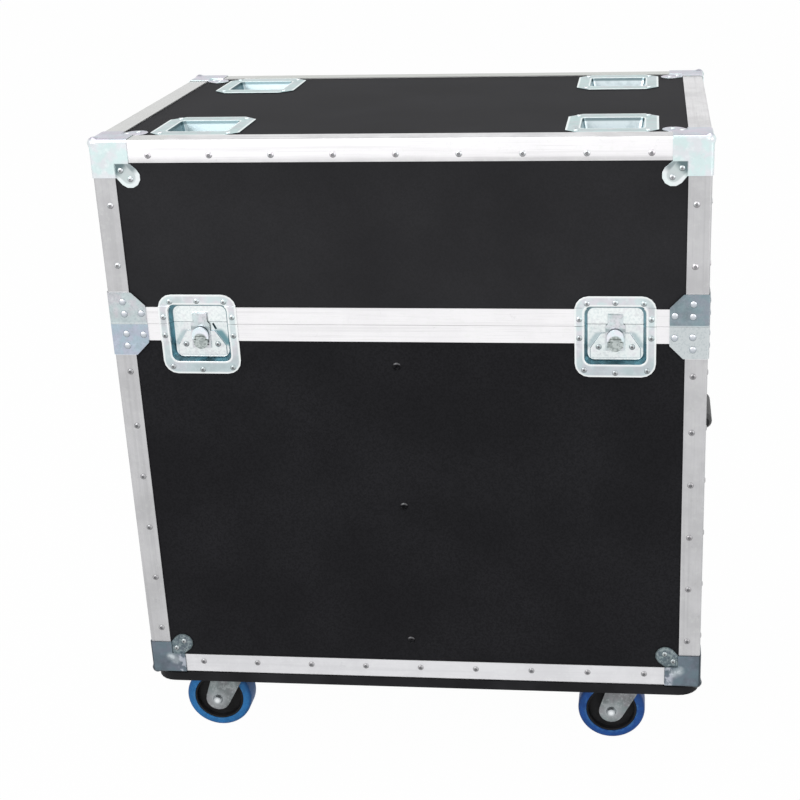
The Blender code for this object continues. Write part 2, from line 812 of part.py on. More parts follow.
def castor_plate(name, finish):
    """Top plate, upper race and king pin. Local Z zero is the board's underside."""
    outline = rounded_rectangle(CASTOR_PLATE_WIDTH / 2, CASTOR_PLATE_DEPTH / 2,
                                CASTOR_PLATE_RADIUS, ARRIS_SEGMENTS)
    underside = -GAP - CASTOR_PLATE_THICKNESS
    plate = prism(name, outline, underside, -GAP, finish, axis="Z")
    race = underside - RACE_HEIGHT
    pin_shoulder = race - GAP - FORK_THICKNESS - GAP
    profile = [
        (0, underside + CASTOR_PLATE_THICKNESS / 2),
        (RACE_RADIUS, underside + CASTOR_PLATE_THICKNESS / 2),
        (RACE_RADIUS, underside - RACE_HEIGHT / 2),
        (RACE_FOOT_RADIUS, race),
        (KING_PIN_RADIUS, race),
        (KING_PIN_RADIUS, pin_shoulder),
        (KING_PIN_HEAD_RADIUS, pin_shoulder),
        (KING_PIN_HEAD_RADIUS, pin_shoulder - KING_PIN_HEAD_HEIGHT),
        (0, pin_shoulder - KING_PIN_HEAD_HEIGHT),
    ]
    combine(plate, turned("race", profile, ROUND_SEGMENTS), "UNION")
    smooth(plate)
    return plate


def fork_crown_top():
    """Local height of the fork's top face."""
    return -GAP - CASTOR_PLATE_THICKNESS - RACE_HEIGHT - GAP


def castor_fork(name, finish):
    """Crown, two legs and the axle with its two domed heads."""
    top = fork_crown_top()
    bottom = top - FORK_THICKNESS
    bore = KING_PIN_RADIUS + GAP
    crown = [(bore, top), (FORK_CROWN_RADIUS, top), (FORK_CROWN_RADIUS, bottom), (bore, bottom)]
    fork = turned(name, crown, ROUND_SEGMENTS, finish)
    axle = (-CASTOR_TRAIL, WHEEL_RADIUS - CASTOR_HEIGHT)
    rear = tangent_point((-FORK_REAR_REACH, bottom), axle, FORK_END_RADIUS, -1)
    front = tangent_point((FORK_FRONT_REACH, bottom), axle, FORK_END_RADIUS, 1)
    rear_angle, front_angle = (
        math.degrees(math.atan2(point[1] - axle[1], point[0] - axle[0])) % 360
        for point in (rear, front)
    )
    outline = [(FORK_FRONT_REACH, bottom), (FORK_FRONT_REACH, top - MELD),
               (-FORK_REAR_REACH, top - MELD), (-FORK_REAR_REACH, bottom)]
    outline += arc(axle, FORK_END_RADIUS, rear_angle, front_angle, ROUND_SEGMENTS // 3)
    inner = FORK_INNER_WIDTH / 2
    outer = inner + FORK_THICKNESS
    for near, far in ((-outer, -inner), (inner, outer)):
        combine(fork, prism("leg", outline, near, far), "UNION")
    head = outer + AXLE_HEAD_HEIGHT
    dome = AXLE_HEAD_RADIUS * math.cos(math.radians(45))
    profile = [
        (0, -head), (dome, -head + AXLE_HEAD_HEIGHT / 4), (AXLE_HEAD_RADIUS, -outer + MELD),
        (AXLE_RADIUS, -outer + MELD), (AXLE_RADIUS, outer - MELD),
        (AXLE_HEAD_RADIUS, outer - MELD), (dome, head - AXLE_HEAD_HEIGHT / 4), (0, head),
    ]
    bolt = turned("axle", profile, PIN_SEGMENTS, axis="Y")
    place(bolt, (axle[0], 0, axle[1]))
    combine(fork, bolt, "UNION")
    smooth(fork)
    return fork


def castor_wheel(name, finish):
    """Wheel turned about its own axle: bored hub, dished web, rim and tyre."""
    hub_face = FORK_INNER_WIDTH / 2 - GAP
    half = [
        (AXLE_RADIUS + GAP, hub_face),
        (HUB_RADIUS, hub_face),
        (HUB_ROOT_RADIUS, WHEEL_WEB_HALF_WIDTH),
        (WHEEL_WEB_RADIUS, WHEEL_WEB_HALF_WIDTH),
        (RIM_RADIUS, TYRE_HALF_WIDTH),
        (TYRE_SHOULDER_RADIUS, TYRE_HALF_WIDTH),
        (WHEEL_RADIUS, TREAD_HALF_WIDTH),
    ]
    profile = half + [(radius, -width) for radius, width in reversed(half)]
    wheel = turned(name, profile, WHEEL_SEGMENTS, finish, axis="Y")
    smooth(wheel)
    return wheel


def castors(zinc, rubber):
    """Four castors, each with its fork and wheel on their own axes."""
    reach_x = HALF_WIDTH - CASTOR_INSET_X
    reach_y = HALF_DEPTH - CASTOR_INSET_Y
    for depth_name, sign_y in (("front", -1), ("rear", 1)):
        for side_name, sign_x in (("left", -1), ("right", 1)):
            where = f"{depth_name}_{side_name}"
            top = Vector((sign_x * reach_x, BODY_CENTRE_Y + sign_y * reach_y, CASTOR_HEIGHT))
            place(castor_plate(f"castor_plate_{where}", zinc), top)
            swivel = empty(f"castor_swivel_axis_{where}", top)
            place(castor_fork(f"castor_fork_{where}", zinc), top, parent=swivel)
            axle = Vector((top.x - CASTOR_TRAIL, top.y, WHEEL_RADIUS))
            place(castor_wheel(f"castor_wheel_{where}", rubber), axle, parent=swivel)


# Dishes


def pressed_dish(name, flange, mouth, mouth_back, floor, floor_back, depth, finish):
    """A dish pressed from sheet: flange on the panel, sloping walls and a flat floor."""
    face = SKIN_DEPTH - GAP - SHEET
    rows = (
        (flange, flange, face, face + SHEET),
        (mouth, mouth_back, face, face + SHEET),
        (floor, floor_back, face + depth, face + depth + SHEET),
    )
    pairs = []
    for seen, back, seen_depth, back_depth in rows:
        for front_point, back_point in zip(seen, back):
            pairs.append(((front_point[0], seen_depth, front_point[1]),
                          (back_point[0], back_depth, back_point[1])))
    count = len(flange)
    faces = bridge(len(rows), count, closed=True)
    last = (len(rows) - 1) * count
    faces.append(tuple(range(last, last + count)))
    return sheet(name, pairs, faces, finish)


def dish_outlines(width, height, radius, slope, segments):
    """Mouth and floor outlines of a dish, seen side and back."""
    outlines = []
    for inset in (0, slope):
        for grow in (0, SHEET):
            outlines.append(rounded_rectangle(width / 2 - inset + grow, height / 2 - inset + grow,
                                              radius + grow, segments))
    return outlines


def stacking_dishes(finish, parent):
    """Four dishes in the top, each for a wheel of the case that stands above."""
    for where, (place_x, place_y) in stacking_places().items():
        flange = clipped_rectangle(DISH_WIDTH / 2, DISH_LENGTH / 2, DISH_CLIP)
        outlines = dish_outlines(DISH_MOUTH_WIDTH, DISH_MOUTH_LENGTH, DISH_MOUTH_RADIUS,
                                 DISH_WALL_SLOPE, 2)
        dish = pressed_dish(f"stacking_dish_{where}", flange, *outlines, DISH_RECESS_DEPTH, finish)
        smooth(dish)
        place(dish, (place_x, place_y, TOP_Z), (math.radians(-90), 0, 0), parent)


# Latches


def latch_loop(half_width, reach, radius, level):
    """An open outline from the seam, round one end of a latch dish and back.

    It has two points on each side where it crosses the level at which the
    flange steps off the band, and the number of the first of them comes with it.
    """
    corner = (half_width - radius, reach - radius)
    right = [(half_width, SEAM_HALF_GAP)]
    if level > corner[1]:
        turn = math.degrees(math.asin((level - corner[1]) / radius))
        right += arc(corner, radius, 0, turn, LATCH_CORNER_SEGMENTS // 2)
        rest = arc(corner, radius, turn, 90, LATCH_CORNER_SEGMENTS)
    else:
        right.append((half_width, level))
        rest = [(half_width, level)] + arc(corner, radius, 0, 90, LATCH_CORNER_SEGMENTS)
    crossing = len(right) - 1
    right += rest
    return right + [(-x, z) for x, z in reversed(right)], crossing


def latch_dish(name, reach, mouth_reach, direction, finish):
    """One half of a latch dish: it starts at the seam and steps from band to panel."""
    level = BAND_HEIGHT + GAP
    slope = LATCH_WALL_SLOPE
    floor_half_width = LATCH_MOUTH_HALF_WIDTH - slope
    rows = (
        (LATCH_HALF_WIDTH, reach, LATCH_CORNER_RADIUS, level, 0, None),
        (LATCH_MOUTH_HALF_WIDTH, mouth_reach, LATCH_MOUTH_RADIUS, level, SHEET, None),
        (floor_half_width, mouth_reach - slope, LATCH_MOUTH_RADIUS, level - slope, SHEET,
         LATCH_FLOOR_DEPTH),
    )
    pairs = []
    for half_width, row_reach, radius, row_level, grow, depth in rows:
        seen_level = row_level + (SHEET if depth is None else 0)
        seen, crossing = latch_loop(half_width, row_reach, radius, seen_level)
        back, crossing = latch_loop(half_width + grow, row_reach + grow, radius + grow, row_level)
        count = len(seen)
        for index in range(count):
            on_band = min(index, count - 1 - index) <= crossing
            back_depth = -GAP if on_band else SKIN_DEPTH - GAP
            if depth is not None:
                back_depth = depth + SHEET
            pairs.append(((seen[index][0], back_depth - SHEET, direction * seen[index][1]),
                          (back[index][0], back_depth, direction * back[index][1])))
    faces = bridge(2, count, closed=False)
    merged = {crossing + 1: crossing, count - 2 - crossing: count - 1 - crossing}
    floor = 2 * count
    for point in range(count - 1):
        near = floor + merged.get(point, point)
        far = floor + merged.get(point + 1, point + 1)
        quad = (count + point, count + point + 1, far, near)
        faces.append(tuple(dict.fromkeys(quad)))
    faces.append(tuple(floor + point for point in range(count) if point not in merged))
    return sheet(name, pairs, faces, finish)


def mechanism_depth():
    """Depth of the mechanism plate's seen face."""
    return LATCH_FLOOR_DEPTH - MECHANISM_HEIGHT


def latch_base_dish(name, finish):
    """Lower dish, with the mechanism plate raised from its floor and bored for the cam."""
    dish = latch_dish(name, LATCH_DROP, LATCH_MOUTH_DROP, -1, finish)
    outline = [
        (-MECHANISM_TOP_HALF_WIDTH, -MECHANISM_TOP_DROP),
        (-MECHANISM_HALF_WIDTH, -MECHANISM_SHOULDER_DROP),
        (-MECHANISM_HALF_WIDTH, -MECHANISM_FOOT_DROP),
        (MECHANISM_HALF_WIDTH, -MECHANISM_FOOT_DROP),
        (MECHANISM_HALF_WIDTH, -MECHANISM_SHOULDER_DROP),
        (MECHANISM_TOP_HALF_WIDTH, -MECHANISM_TOP_DROP),
    ]
    plate = prism("mechanism", outline, mechanism_depth(), LATCH_FLOOR_DEPTH + MELD)
    combine(dish, plate, "UNION")
    bore_end = mechanism_depth() + CAM_JOURNAL_LENGTH
    bore = rod("bore", CAM_JOURNAL_RADIUS + GAP, mechanism_depth() - OVERRUN, bore_end,
               PIN_SEGMENTS, "Y")
    place(bore, (0, 0, -CAM_DROP))
    combine(dish, bore, "DIFFERENCE")
    smooth(dish)
    return dish


def latch_lid_dish(name, finish):
    """Upper dish, with the keeper that the hook pulls down on."""
    dish = latch_dish(name, LATCH_RISE, LATCH_MOUTH_RISE, 1, finish)
    keeper = box("keeper", (-KEEPER_HALF_WIDTH, mechanism_depth(), KEEPER_LOW),
                 (KEEPER_HALF_WIDTH, LATCH_FLOOR_DEPTH + MELD, KEEPER_HIGH))
    combine(dish, keeper, "UNION")
    smooth(dish)
    return dish


def hook_back_depth():
    """Depth of the hook's back face."""
    return mechanism_depth() - GAP


def hook_window():
    """Half width and half height of the window that the eccentric turns in."""
    throw = HOOK_TRAVEL / 2
    half_width = throw + CAM_ECCENTRIC_RADIUS + GAP
    half_height = CAM_ECCENTRIC_RADIUS + HOOK_PLAY
    return half_width, half_height


def latch_hook(name, finish):
    """Hook plate with its window and its claw. The local origin is on the cam's axis."""
    back = hook_back_depth()
    front = back - HOOK_THICKNESS
    throw = HOOK_TRAVEL / 2
    half_window, half_height = hook_window()
    claw_low = CAM_DROP + KEEPER_HIGH + GAP
    claw_high = claw_low + HOOK_CLAW_HEIGHT
    neck = CAM_DROP - HOOK_NECK_DROP
    foot = CAM_DROP - HOOK_FOOT_DROP
    outline = [
        (-HOOK_HALF_WIDTH, foot), (HOOK_HALF_WIDTH, foot), (HOOK_HALF_WIDTH, neck),
        (HOOK_HEAD_HALF_WIDTH, neck + HOOK_HALF_WIDTH - HOOK_HEAD_HALF_WIDTH),
        (HOOK_HEAD_HALF_WIDTH, claw_high), (-HOOK_HEAD_HALF_WIDTH, claw_high),
        (-HOOK_HEAD_HALF_WIDTH, neck + HOOK_HALF_WIDTH - HOOK_HEAD_HALF_WIDTH),
        (-HOOK_HALF_WIDTH, neck),
    ]
    hook = prism(name, outline, front, back, finish)
    claw = box("claw", (-HOOK_HEAD_HALF_WIDTH, back - MELD, claw_low),
               (HOOK_HEAD_HALF_WIDTH, back + HOOK_CLAW_DEPTH, claw_high))
    combine(hook, claw, "UNION")
    window = box("window", (-half_window, front - OVERRUN, -throw - half_height),
                 (half_window, back + OVERRUN, -throw + half_height))
    combine(hook, window, "DIFFERENCE")
    return hook


def wing_pin_depth():
    """Depth of the pin that the wing folds on."""
    return hook_back_depth() - HOOK_THICKNESS - GAP - CAM_THICKNESS - GAP - WING_EYE_RADIUS


def lobe_outline():
    """Round lobe below the wing's pin, cut level just clear of the wing's eyes."""
    cut = WING_EYE_RADIUS + GAP
    shoulder = math.degrees(math.asin((CAM_LOBE_DROP - cut) / CAM_LOBE_RADIUS))
    return arc((0, -CAM_LOBE_DROP), CAM_LOBE_RADIUS, shoulder, -180 - shoulder, ROUND_SEGMENTS)


def latch_cam(name, finish):
    """Cam disc with its eccentric, journal, boss, front lobe and the wing's two pin stubs."""
    hook_front = hook_back_depth() - HOOK_THICKNESS
    disc_back = hook_front - GAP
    disc_front = disc_back - CAM_THICKNESS
    cam = rod(name, CAM_RADIUS, disc_front, disc_back, ROUND_SEGMENTS, "Y", finish)
    eccentric = rod("eccentric", CAM_ECCENTRIC_RADIUS, disc_back - MELD, hook_back_depth(),
                    PIN_SEGMENTS, "Y")
    place(eccentric, (0, 0, -HOOK_TRAVEL / 2))
    combine(cam, eccentric, "UNION")
    journal_end = mechanism_depth() + CAM_JOURNAL_LENGTH - GAP
    journal = rod("journal", CAM_JOURNAL_RADIUS, hook_back_depth() - MELD, journal_end,
                  PIN_SEGMENTS, "Y")
    combine(cam, journal, "UNION")
    pin = wing_pin_depth()
    boss = box("boss", (-CAM_BOSS_HALF_LENGTH, pin - CAM_STUB_RADIUS, -CAM_BOSS_HALF_HEIGHT),
               (CAM_BOSS_HALF_LENGTH, disc_front + MELD, CAM_BOSS_HALF_HEIGHT))
    combine(cam, boss, "UNION")
    lobe = prism("lobe", lobe_outline(), pin - WING_THICKNESS / 2, disc_front + MELD)
    combine(cam, lobe, "UNION")
    stubs = rod("stubs", CAM_STUB_RADIUS, -CAM_STUB_REACH, CAM_STUB_REACH, PIN_SEGMENTS, "X")
    place(stubs, (0, pin, 0))
    combine(cam, stubs, "UNION")
    smooth(cam)
    return cam


def latch_wing(name, finish):
    """Round wing with an eye on each side, folded up. The local origin is on its pin."""
    half = WING_THICKNESS / 2
    outline = [(WING_RADIUS, 0)] + arc((0, WING_RISE), WING_RADIUS, 0, 180, ROUND_SEGMENTS // 2)
    outline += [(-WING_RADIUS, 0), (-WING_ARM_INNER, 0), (-WING_ARM_INNER, WING_NOTCH_HEIGHT),
                (WING_ARM_INNER, WING_NOTCH_HEIGHT), (WING_ARM_INNER, 0)]
    wing = prism(name, outline, -half, half, finish)
    near = WING_ARM_INNER + MELD
    far = WING_RADIUS - MELD
    for start, end in ((-far, -near), (near, far)):
        combine(wing, rod("eye", WING_EYE_RADIUS, start, end, PIN_SEGMENTS, "X"), "UNION")
    reach = CAM_STUB_REACH + GAP
    combine(wing, rod("hole", CAM_STUB_RADIUS + GAP, -reach, reach, PIN_SEGMENTS, "X"), "DIFFERENCE")
    smooth(wing)
    return wing


def latches(finish, lid_parent):
    """Two latches, with the hook, cam and wing of each on their own axes."""
    for side, place_x in latch_places().items():
        seam = Vector((place_x, FRONT_Y, SEAM_Z))
        cam_axis = seam - Vector((0, 0, CAM_DROP))
        wing_pin = cam_axis + Vector((0, wing_pin_depth(), 0))
        place(latch_base_dish(f"latch_base_dish_{side}", finish), seam)
        place(latch_lid_dish(f"latch_lid_dish_{side}", finish), seam, parent=lid_parent)
        place(latch_hook(f"latch_hook_{side}", finish), cam_axis)
        cam = place(latch_cam(f"latch_cam_{side}", finish), cam_axis)
        place(latch_wing(f"latch_wing_{side}", finish), wing_pin, parent=cam)


# Side handles


def handle_dish(name, finish):
    """Recessed dish with the two lugs that hold the bail."""
    flange = rounded_rectangle(HANDLE_DISH_WIDTH / 2, HANDLE_DISH_HEIGHT / 2,
                               HANDLE_DISH_RADIUS, 3)
    outlines = dish_outlines(HANDLE_MOUTH_WIDTH, HANDLE_MOUTH_HEIGHT, HANDLE_MOUTH_RADIUS,
                             HANDLE_WALL_SLOPE, 3)
    dish = pressed_dish(name, flange, *outlines, HANDLE_RECESS_DEPTH, finish)
    floor = SKIN_DEPTH - GAP - SHEET + HANDLE_RECESS_DEPTH
    inner = HANDLE_ARM_SPACING / 2 + HANDLE_ROD_RADIUS + GAP
    outer = inner + HANDLE_LUG_WIDTH
    lug_front = HANDLE_PIVOT_DEPTH - HANDLE_LUG_HALF_HEIGHT
    for near, far in ((-outer, -inner), (inner, outer)):
        lug = box("lug", (near, lug_front, HANDLE_PIVOT_RISE - HANDLE_LUG_HALF_HEIGHT),
                  (far, floor + MELD, HANDLE_PIVOT_RISE + HANDLE_LUG_HALF_HEIGHT))
        combine(dish, lug, "UNION")
        hole = rod("hole", HANDLE_ROD_RADIUS + GAP, near - GAP, far + GAP, HANDLE_ROD_SIDES, "X")
        place(hole, (0, HANDLE_PIVOT_DEPTH, HANDLE_PIVOT_RISE))
        combine(dish, hole, "DIFFERENCE")
    smooth(dish)
    return dish


def swept_rod(name, path, radius, sides, finish):
    """A round rod along a path, mitred where the path turns."""
    points = [Vector(point) for point in path]
    bm = bmesh.new()
    rings = []
    for index, point in enumerate(points):
        before = (point - points[index - 1]).normalized() if index else None
        after = (points[index + 1] - point).normalized() if index + 1 < len(points) else None
        run = before or after
        bisector = ((before or after) + (after or before)).normalized()
        if index == 0:
            side = run.orthogonal().normalized()
            ring = [point + radius * (Matrix.Rotation(2 * math.pi * step / sides, 3, run) @ side)
                    for step in range(sides)]
        else:
            ring = []
            for corner in rings[-1]:
                reach = (point - corner.co).dot(bisector) / run.dot(bisector)
                ring.append(corner.co + run * reach)
        rings.append([bm.verts.new(place_at) for place_at in ring])
    bm.faces.new(rings[0])
    bm.faces.new(rings[-1])
    for near, far in zip(rings, rings[1:]):
        for step in range(sides):
            following = (step + 1) % sides
            bm.faces.new((near[step], near[following], far[following], far[step]))
    return solid(name, bm, finish)


def handle_bail(name, finish):
    """Bail with its moulded grip. The local origin is on the pivot."""
    arm = HANDLE_ARM_SPACING / 2
    pin_end = arm + HANDLE_ROD_RADIUS + GAP + HANDLE_LUG_WIDTH
    grip_depth = -GRIP_PROUD - HANDLE_PIVOT_DEPTH
    grip_height = -GRIP_DROP - HANDLE_PIVOT_RISE
    path = [(-pin_end, 0, 0), (-arm, 0, 0), (-arm, grip_depth, grip_height),
            (arm, grip_depth, grip_height), (arm, 0, 0), (pin_end, 0, 0)]
    bail = swept_rod(name, path, HANDLE_ROD_RADIUS, HANDLE_ROD_SIDES, finish)
    half = GRIP_LENGTH / 2
    profile = [(0, -half), (GRIP_END_RADIUS, -half), (GRIP_RADIUS, GRIP_TAPER - half),
               (GRIP_RADIUS, half - GRIP_TAPER), (GRIP_END_RADIUS, half), (0, half)]
    grip = turned("grip", profile, GRIP_SEGMENTS, axis="X")
    place(grip, (0, grip_depth, grip_height))
    combine(bail, grip, "UNION")
    smooth(bail)
    return bail


def side_handles(zinc, rubber):
    """A handle on each side, turned so that its depth runs into the case."""
    for side_name, sign in (("left", -1), ("right", 1)):
        turn = (0, 0, sign * math.radians(90))
        middle = Vector((sign * HALF_WIDTH, BODY_CENTRE_Y, BOTTOM_Z + HANDLE_HEIGHT))
        pivot = middle + Vector((-sign * HANDLE_PIVOT_DEPTH, 0, HANDLE_PIVOT_RISE))
        place(handle_dish(f"handle_dish_{side_name}", zinc), middle, turn)
        place(handle_bail(f"handle_bail_{side_name}", rubber), pivot, turn)


# Hinges


def hinge_leaf(name, direction, finish):
    """One leaf, cranked from band to panel, with its knuckles round the pin.

    The local origin is on the pin's axis. The base's leaf has the two outer
    knuckles and the lid's leaf the middle one.
    """
    half = HINGE_WIDTH / 2
    middle = half * HINGE_KNUCKLE_SHARE
    band_face = HINGE_AXIS_PROUD - GAP
    panel_face = HINGE_AXIS_PROUD + SKIN_DEPTH - GAP
    step = BAND_HEIGHT + GAP
    outline = [
        (band_face, SEAM_HALF_GAP),
        (band_face, step),
        (panel_face, step),
        (panel_face, HINGE_LEAF_HEIGHT),
        (panel_face - HINGE_LEAF_THICKNESS, HINGE_LEAF_HEIGHT),
        (panel_face - HINGE_LEAF_THICKNESS, step + HINGE_LEAF_THICKNESS),
        (band_face - HINGE_LEAF_THICKNESS, step + HINGE_LEAF_THICKNESS),
        (band_face - HINGE_LEAF_THICKNESS, SEAM_HALF_GAP),
    ]
    outline = [(-depth, direction * height) for depth, height in outline]
    leaf = prism(name, outline, -half, half, finish, axis="X")
    outer = ((-half, -middle), (middle, half))
    inner = ((GAP - middle, middle - GAP),)
    clear_of_outer = ((-half - OVERRUN, GAP - middle), (middle - GAP, half + OVERRUN))
    clear_of_inner = ((-middle, middle),)
    knuckles, notches = (outer, clear_of_inner) if direction < 0 else (inner, clear_of_outer)
    low, high = sorted((0, direction * (HINGE_KNUCKLE_RADIUS + 2 * GAP)))
    for start, end in notches:
        notch = box("notch", (start, -panel_face - OVERRUN, low), (end, OVERRUN, high))
        combine(leaf, notch, "DIFFERENCE")
    for start, end in knuckles:
        knuckle = rod("knuckle", HINGE_KNUCKLE_RADIUS, start, end, PIN_SEGMENTS, "X")
        combine(leaf, knuckle, "UNION")
    bore = rod("bore", HINGE_PIN_RADIUS + GAP, -half - OVERRUN, half + OVERRUN, PIN_SEGMENTS, "X")
    combine(leaf, bore, "DIFFERENCE")
    smooth(leaf)
    return leaf


def hinge_pin(name, finish):
    """Hinge pin with a head on each end."""
    half = HINGE_WIDTH / 2 + GAP
    end = half + HINGE_PIN_HEAD_LENGTH
    profile = [
        (0, -end), (HINGE_PIN_HEAD_RADIUS, -end), (HINGE_PIN_HEAD_RADIUS, -half),
        (HINGE_PIN_RADIUS, -half), (HINGE_PIN_RADIUS, half),
        (HINGE_PIN_HEAD_RADIUS, half), (HINGE_PIN_HEAD_RADIUS, end), (0, end),
    ]
    pin = turned(name, profile, PIN_SEGMENTS, finish, axis="X")
    smooth(pin)
    return pin


def hinges(finish, lid_parent):
    """Two hinges on the rear, on the lid's axis."""
    for side_name, sign in (("left", -1), ("right", 1)):
        axis = (sign * HINGE_SPACING / 2, REAR_Y + HINGE_AXIS_PROUD, SEAM_Z)
        place(hinge_leaf(f"hinge_base_leaf_{side_name}", -1, finish), axis)
        place(hinge_leaf(f"hinge_lid_leaf_{side_name}", 1, finish), axis, parent=lid_parent)
        place(hinge_pin(f"hinge_pin_{side_name}", finish), axis)


def build():
    """Model every piece of the case."""
    clear_scene()
    board = black_board()
    metal = aluminium()
    zinc = zinc_plate()

    lid_axis = empty("lid_axis", (0, REAR_Y + HINGE_AXIS_PROUD, SEAM_Z))

    base = wall_panels("base", base_wall_span(), board)
    cut_latch_mouths(base["front"], WALL_DEPTH + OVERRUN)
    cut_handle_mouth(base["left"], -1)
    cut_handle_mouth(base["right"], 1)
    level_panel("base_floor_panel", BOTTOM_Z + SKIN_DEPTH, board)
    divider(board)

    lid = wall_panels("lid", lid_wall_span(), board)
    cut_latch_mouths(lid["front"], WALL_DEPTH + OVERRUN)
    top = level_panel("lid_top_panel", TOP_Z - WALL_DEPTH, board)
    cut_stacking_mouths(top)
    for panel in (*lid.values(), top):
        place(panel, panel.location, parent=lid_axis)

    base_edges = edge_frame("base_edge_frame", BASE_HEIGHT - BAND_HEIGHT - GAP, metal)
    smooth(base_edges)
    place(base_edges, (0, BODY_CENTRE_Y, BOTTOM_Z))
    lid_edges = edge_frame("lid_edge_frame", LID_HEIGHT - BAND_HEIGHT - GAP, metal)
    smooth(lid_edges)
    place(lid_edges, (0, BODY_CENTRE_Y, TOP_Z), (math.radians(180), 0, 0), lid_axis)

    location_rim("base", -1, metal)
    lid_rim = location_rim("lid", 1, metal)
    place(lid_rim, lid_rim.location, parent=lid_axis)

    corners(zinc, lid_axis)
    castor_board(board)
    castors(zinc, blue_tyre())
    stacking_dishes(zinc, lid_axis)
    latches(zinc, lid_axis)
    side_handles(zinc, black_rubber())
    hinges(zinc, lid_axis)


build()
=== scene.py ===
"""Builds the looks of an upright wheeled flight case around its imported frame."""

import json
import math
from functools import cache, partial

import bmesh
import bpy
from mathutils import Matrix, Vector
from mathutils.bvhtree import BVHTree

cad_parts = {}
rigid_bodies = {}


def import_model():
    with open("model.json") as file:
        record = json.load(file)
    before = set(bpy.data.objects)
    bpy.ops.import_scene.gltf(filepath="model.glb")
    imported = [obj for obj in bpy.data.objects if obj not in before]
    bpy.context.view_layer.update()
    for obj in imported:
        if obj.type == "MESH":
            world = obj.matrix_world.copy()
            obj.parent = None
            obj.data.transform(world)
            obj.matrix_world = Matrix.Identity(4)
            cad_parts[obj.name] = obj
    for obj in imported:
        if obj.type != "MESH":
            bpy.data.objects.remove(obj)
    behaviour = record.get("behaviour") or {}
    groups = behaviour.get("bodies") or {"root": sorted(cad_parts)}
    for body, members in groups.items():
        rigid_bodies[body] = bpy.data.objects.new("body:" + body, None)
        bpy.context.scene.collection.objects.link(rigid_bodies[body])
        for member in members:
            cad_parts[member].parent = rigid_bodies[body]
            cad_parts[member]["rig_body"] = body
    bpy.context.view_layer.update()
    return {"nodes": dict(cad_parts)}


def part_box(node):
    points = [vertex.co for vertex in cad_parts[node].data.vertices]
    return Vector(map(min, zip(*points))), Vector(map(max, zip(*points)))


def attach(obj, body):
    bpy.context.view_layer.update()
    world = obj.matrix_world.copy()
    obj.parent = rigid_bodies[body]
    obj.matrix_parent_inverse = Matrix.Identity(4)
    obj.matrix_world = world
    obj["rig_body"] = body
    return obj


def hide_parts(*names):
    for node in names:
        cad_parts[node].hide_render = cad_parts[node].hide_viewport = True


bl_info = {
    "name": "Flight case",
    "version": (1, 0, 0),
    "blender": (4, 5, 0),
    "location": "View3D > Sidebar > Flight case",
    "description": "Adds the metal, board, castor and fastener finishes of a flight case",
    "category": "Add Mesh",
}

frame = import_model()

SIDES = {"left": -1, "right": 1}
ENDS = {"front": -1, "rear": 1}
HALVES = {"base": -1, "lid": 1}
QUARTERS = {f"{end}_{side}": (SIDES[side], ENDS[end]) for end in ENDS for side in SIDES}

# Planes of the body, read from the frame. The seam is between the two halves.
BASE_LOW, BASE_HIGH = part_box("base_edge_frame")
HALF_WIDTH = BASE_HIGH.x
FRONT_Y = BASE_LOW.y
REAR_Y = BASE_HIGH.y
MIDDLE_Y = (FRONT_Y + REAR_Y) / 2
HALF_DEPTH = (REAR_Y - FRONT_Y) / 2
BOTTOM_Z = BASE_LOW.z
TOP_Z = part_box("lid_edge_frame")[1].z
SEAM_Z = (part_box("base_front_panel")[1].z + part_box("lid_front_panel")[0].z) / 2
ANGLE_LEG = 0.030
BRACE_HALF_HEIGHT = 0.044

# Depth of the inner side of the black facing under the outside of the edge angles.
FACING_DEPTH = 0.0028

# Rivets along the edge angles: a row across each end, its height and the heights up each corner.
EDGE_ROWS = {
    "base": (
        [0.0770 + 0.0805 * place for place in range(9)],
        BOTTOM_Z + 0.0185,
        (0.0735, 0.1560, 0.2360, 0.3150, 0.3920, 0.4720),
    ),
    "lid": (
        [0.0767 + 0.0809 * place for place in range(9)],
        TOP_Z - 0.0203,
        (0.6220, 0.7035),
    ),
}
SIDE_ROW = [0.0765 + 0.0880 * place for place in range(5)]
UPRIGHT_INSET = 0.0190

# Corners: the distances from the edges between which a lobe starts, the line down its middle, its
# rivets, and the line along the painted highlight on a lower corner.
LOBE_START = (0.0300, 0.0320)
LOBE_LINE = ((0.0300, 0.0310), (0.0485, 0.0490))
LOBE_RIVETS = ((0.0380, 0.0400), (0.0500, 0.0515))
SHEEN_LINE = ((0.0290, 0.0260), (0.0360, 0.0210))

# Rivets of a brace, as distances from the edge and from the seam.
BRACE_RIVETS = ((0.0200, 0.0310), (0.0205, 0.0140), (0.0440, 0.0150))

# Latches. An outline is its middle's rise over the seam, half width, half height and corner radius.
LATCH_INSET = 0.121
LATCH_OUTLINE = (-0.0150, 0.0535, 0.0560, 0.0190)
LATCH_MOUTH = (-0.01325, 0.0410, 0.04025, 0.0090)
LATCH_FLOOR_DEPTH = 0.0096
LATCH_LID_RIVETS = ((-0.037, 0.031), (0.0, 0.032), (0.037, 0.031), (-0.047, 0.010), (0.047, 0.010))
LATCH_BASE_RIVETS = (
    (-0.047, -0.016),
    (0.047, -0.016),
    (-0.041, -0.061),
    (0.0, -0.065),
    (0.042, -0.062),
)
MECHANISM_RIVETS = ((-0.022, -0.031), (0.022, -0.031))

# The cover plate over a latch's works: half its width at its top, how far that lies under the
# seam and how much its sides spread on the way down. The hook is folded a little higher up.
COVER_HALF_WIDTH = 0.0190
COVER_TOP_DROP = 0.0120
COVER_SPREAD = 0.0140 / 0.0210
HOOK_FOLD_DROP = 0.0078

# The slanting slot that the left latch has beside its hook.
SLOT_ASIDE = 0.0188
SLOT_DROP = 0.0062
SLOT_SIZE = (0.0026, 0.0018, 0.0090)
SLOT_TILT = math.radians(-26)

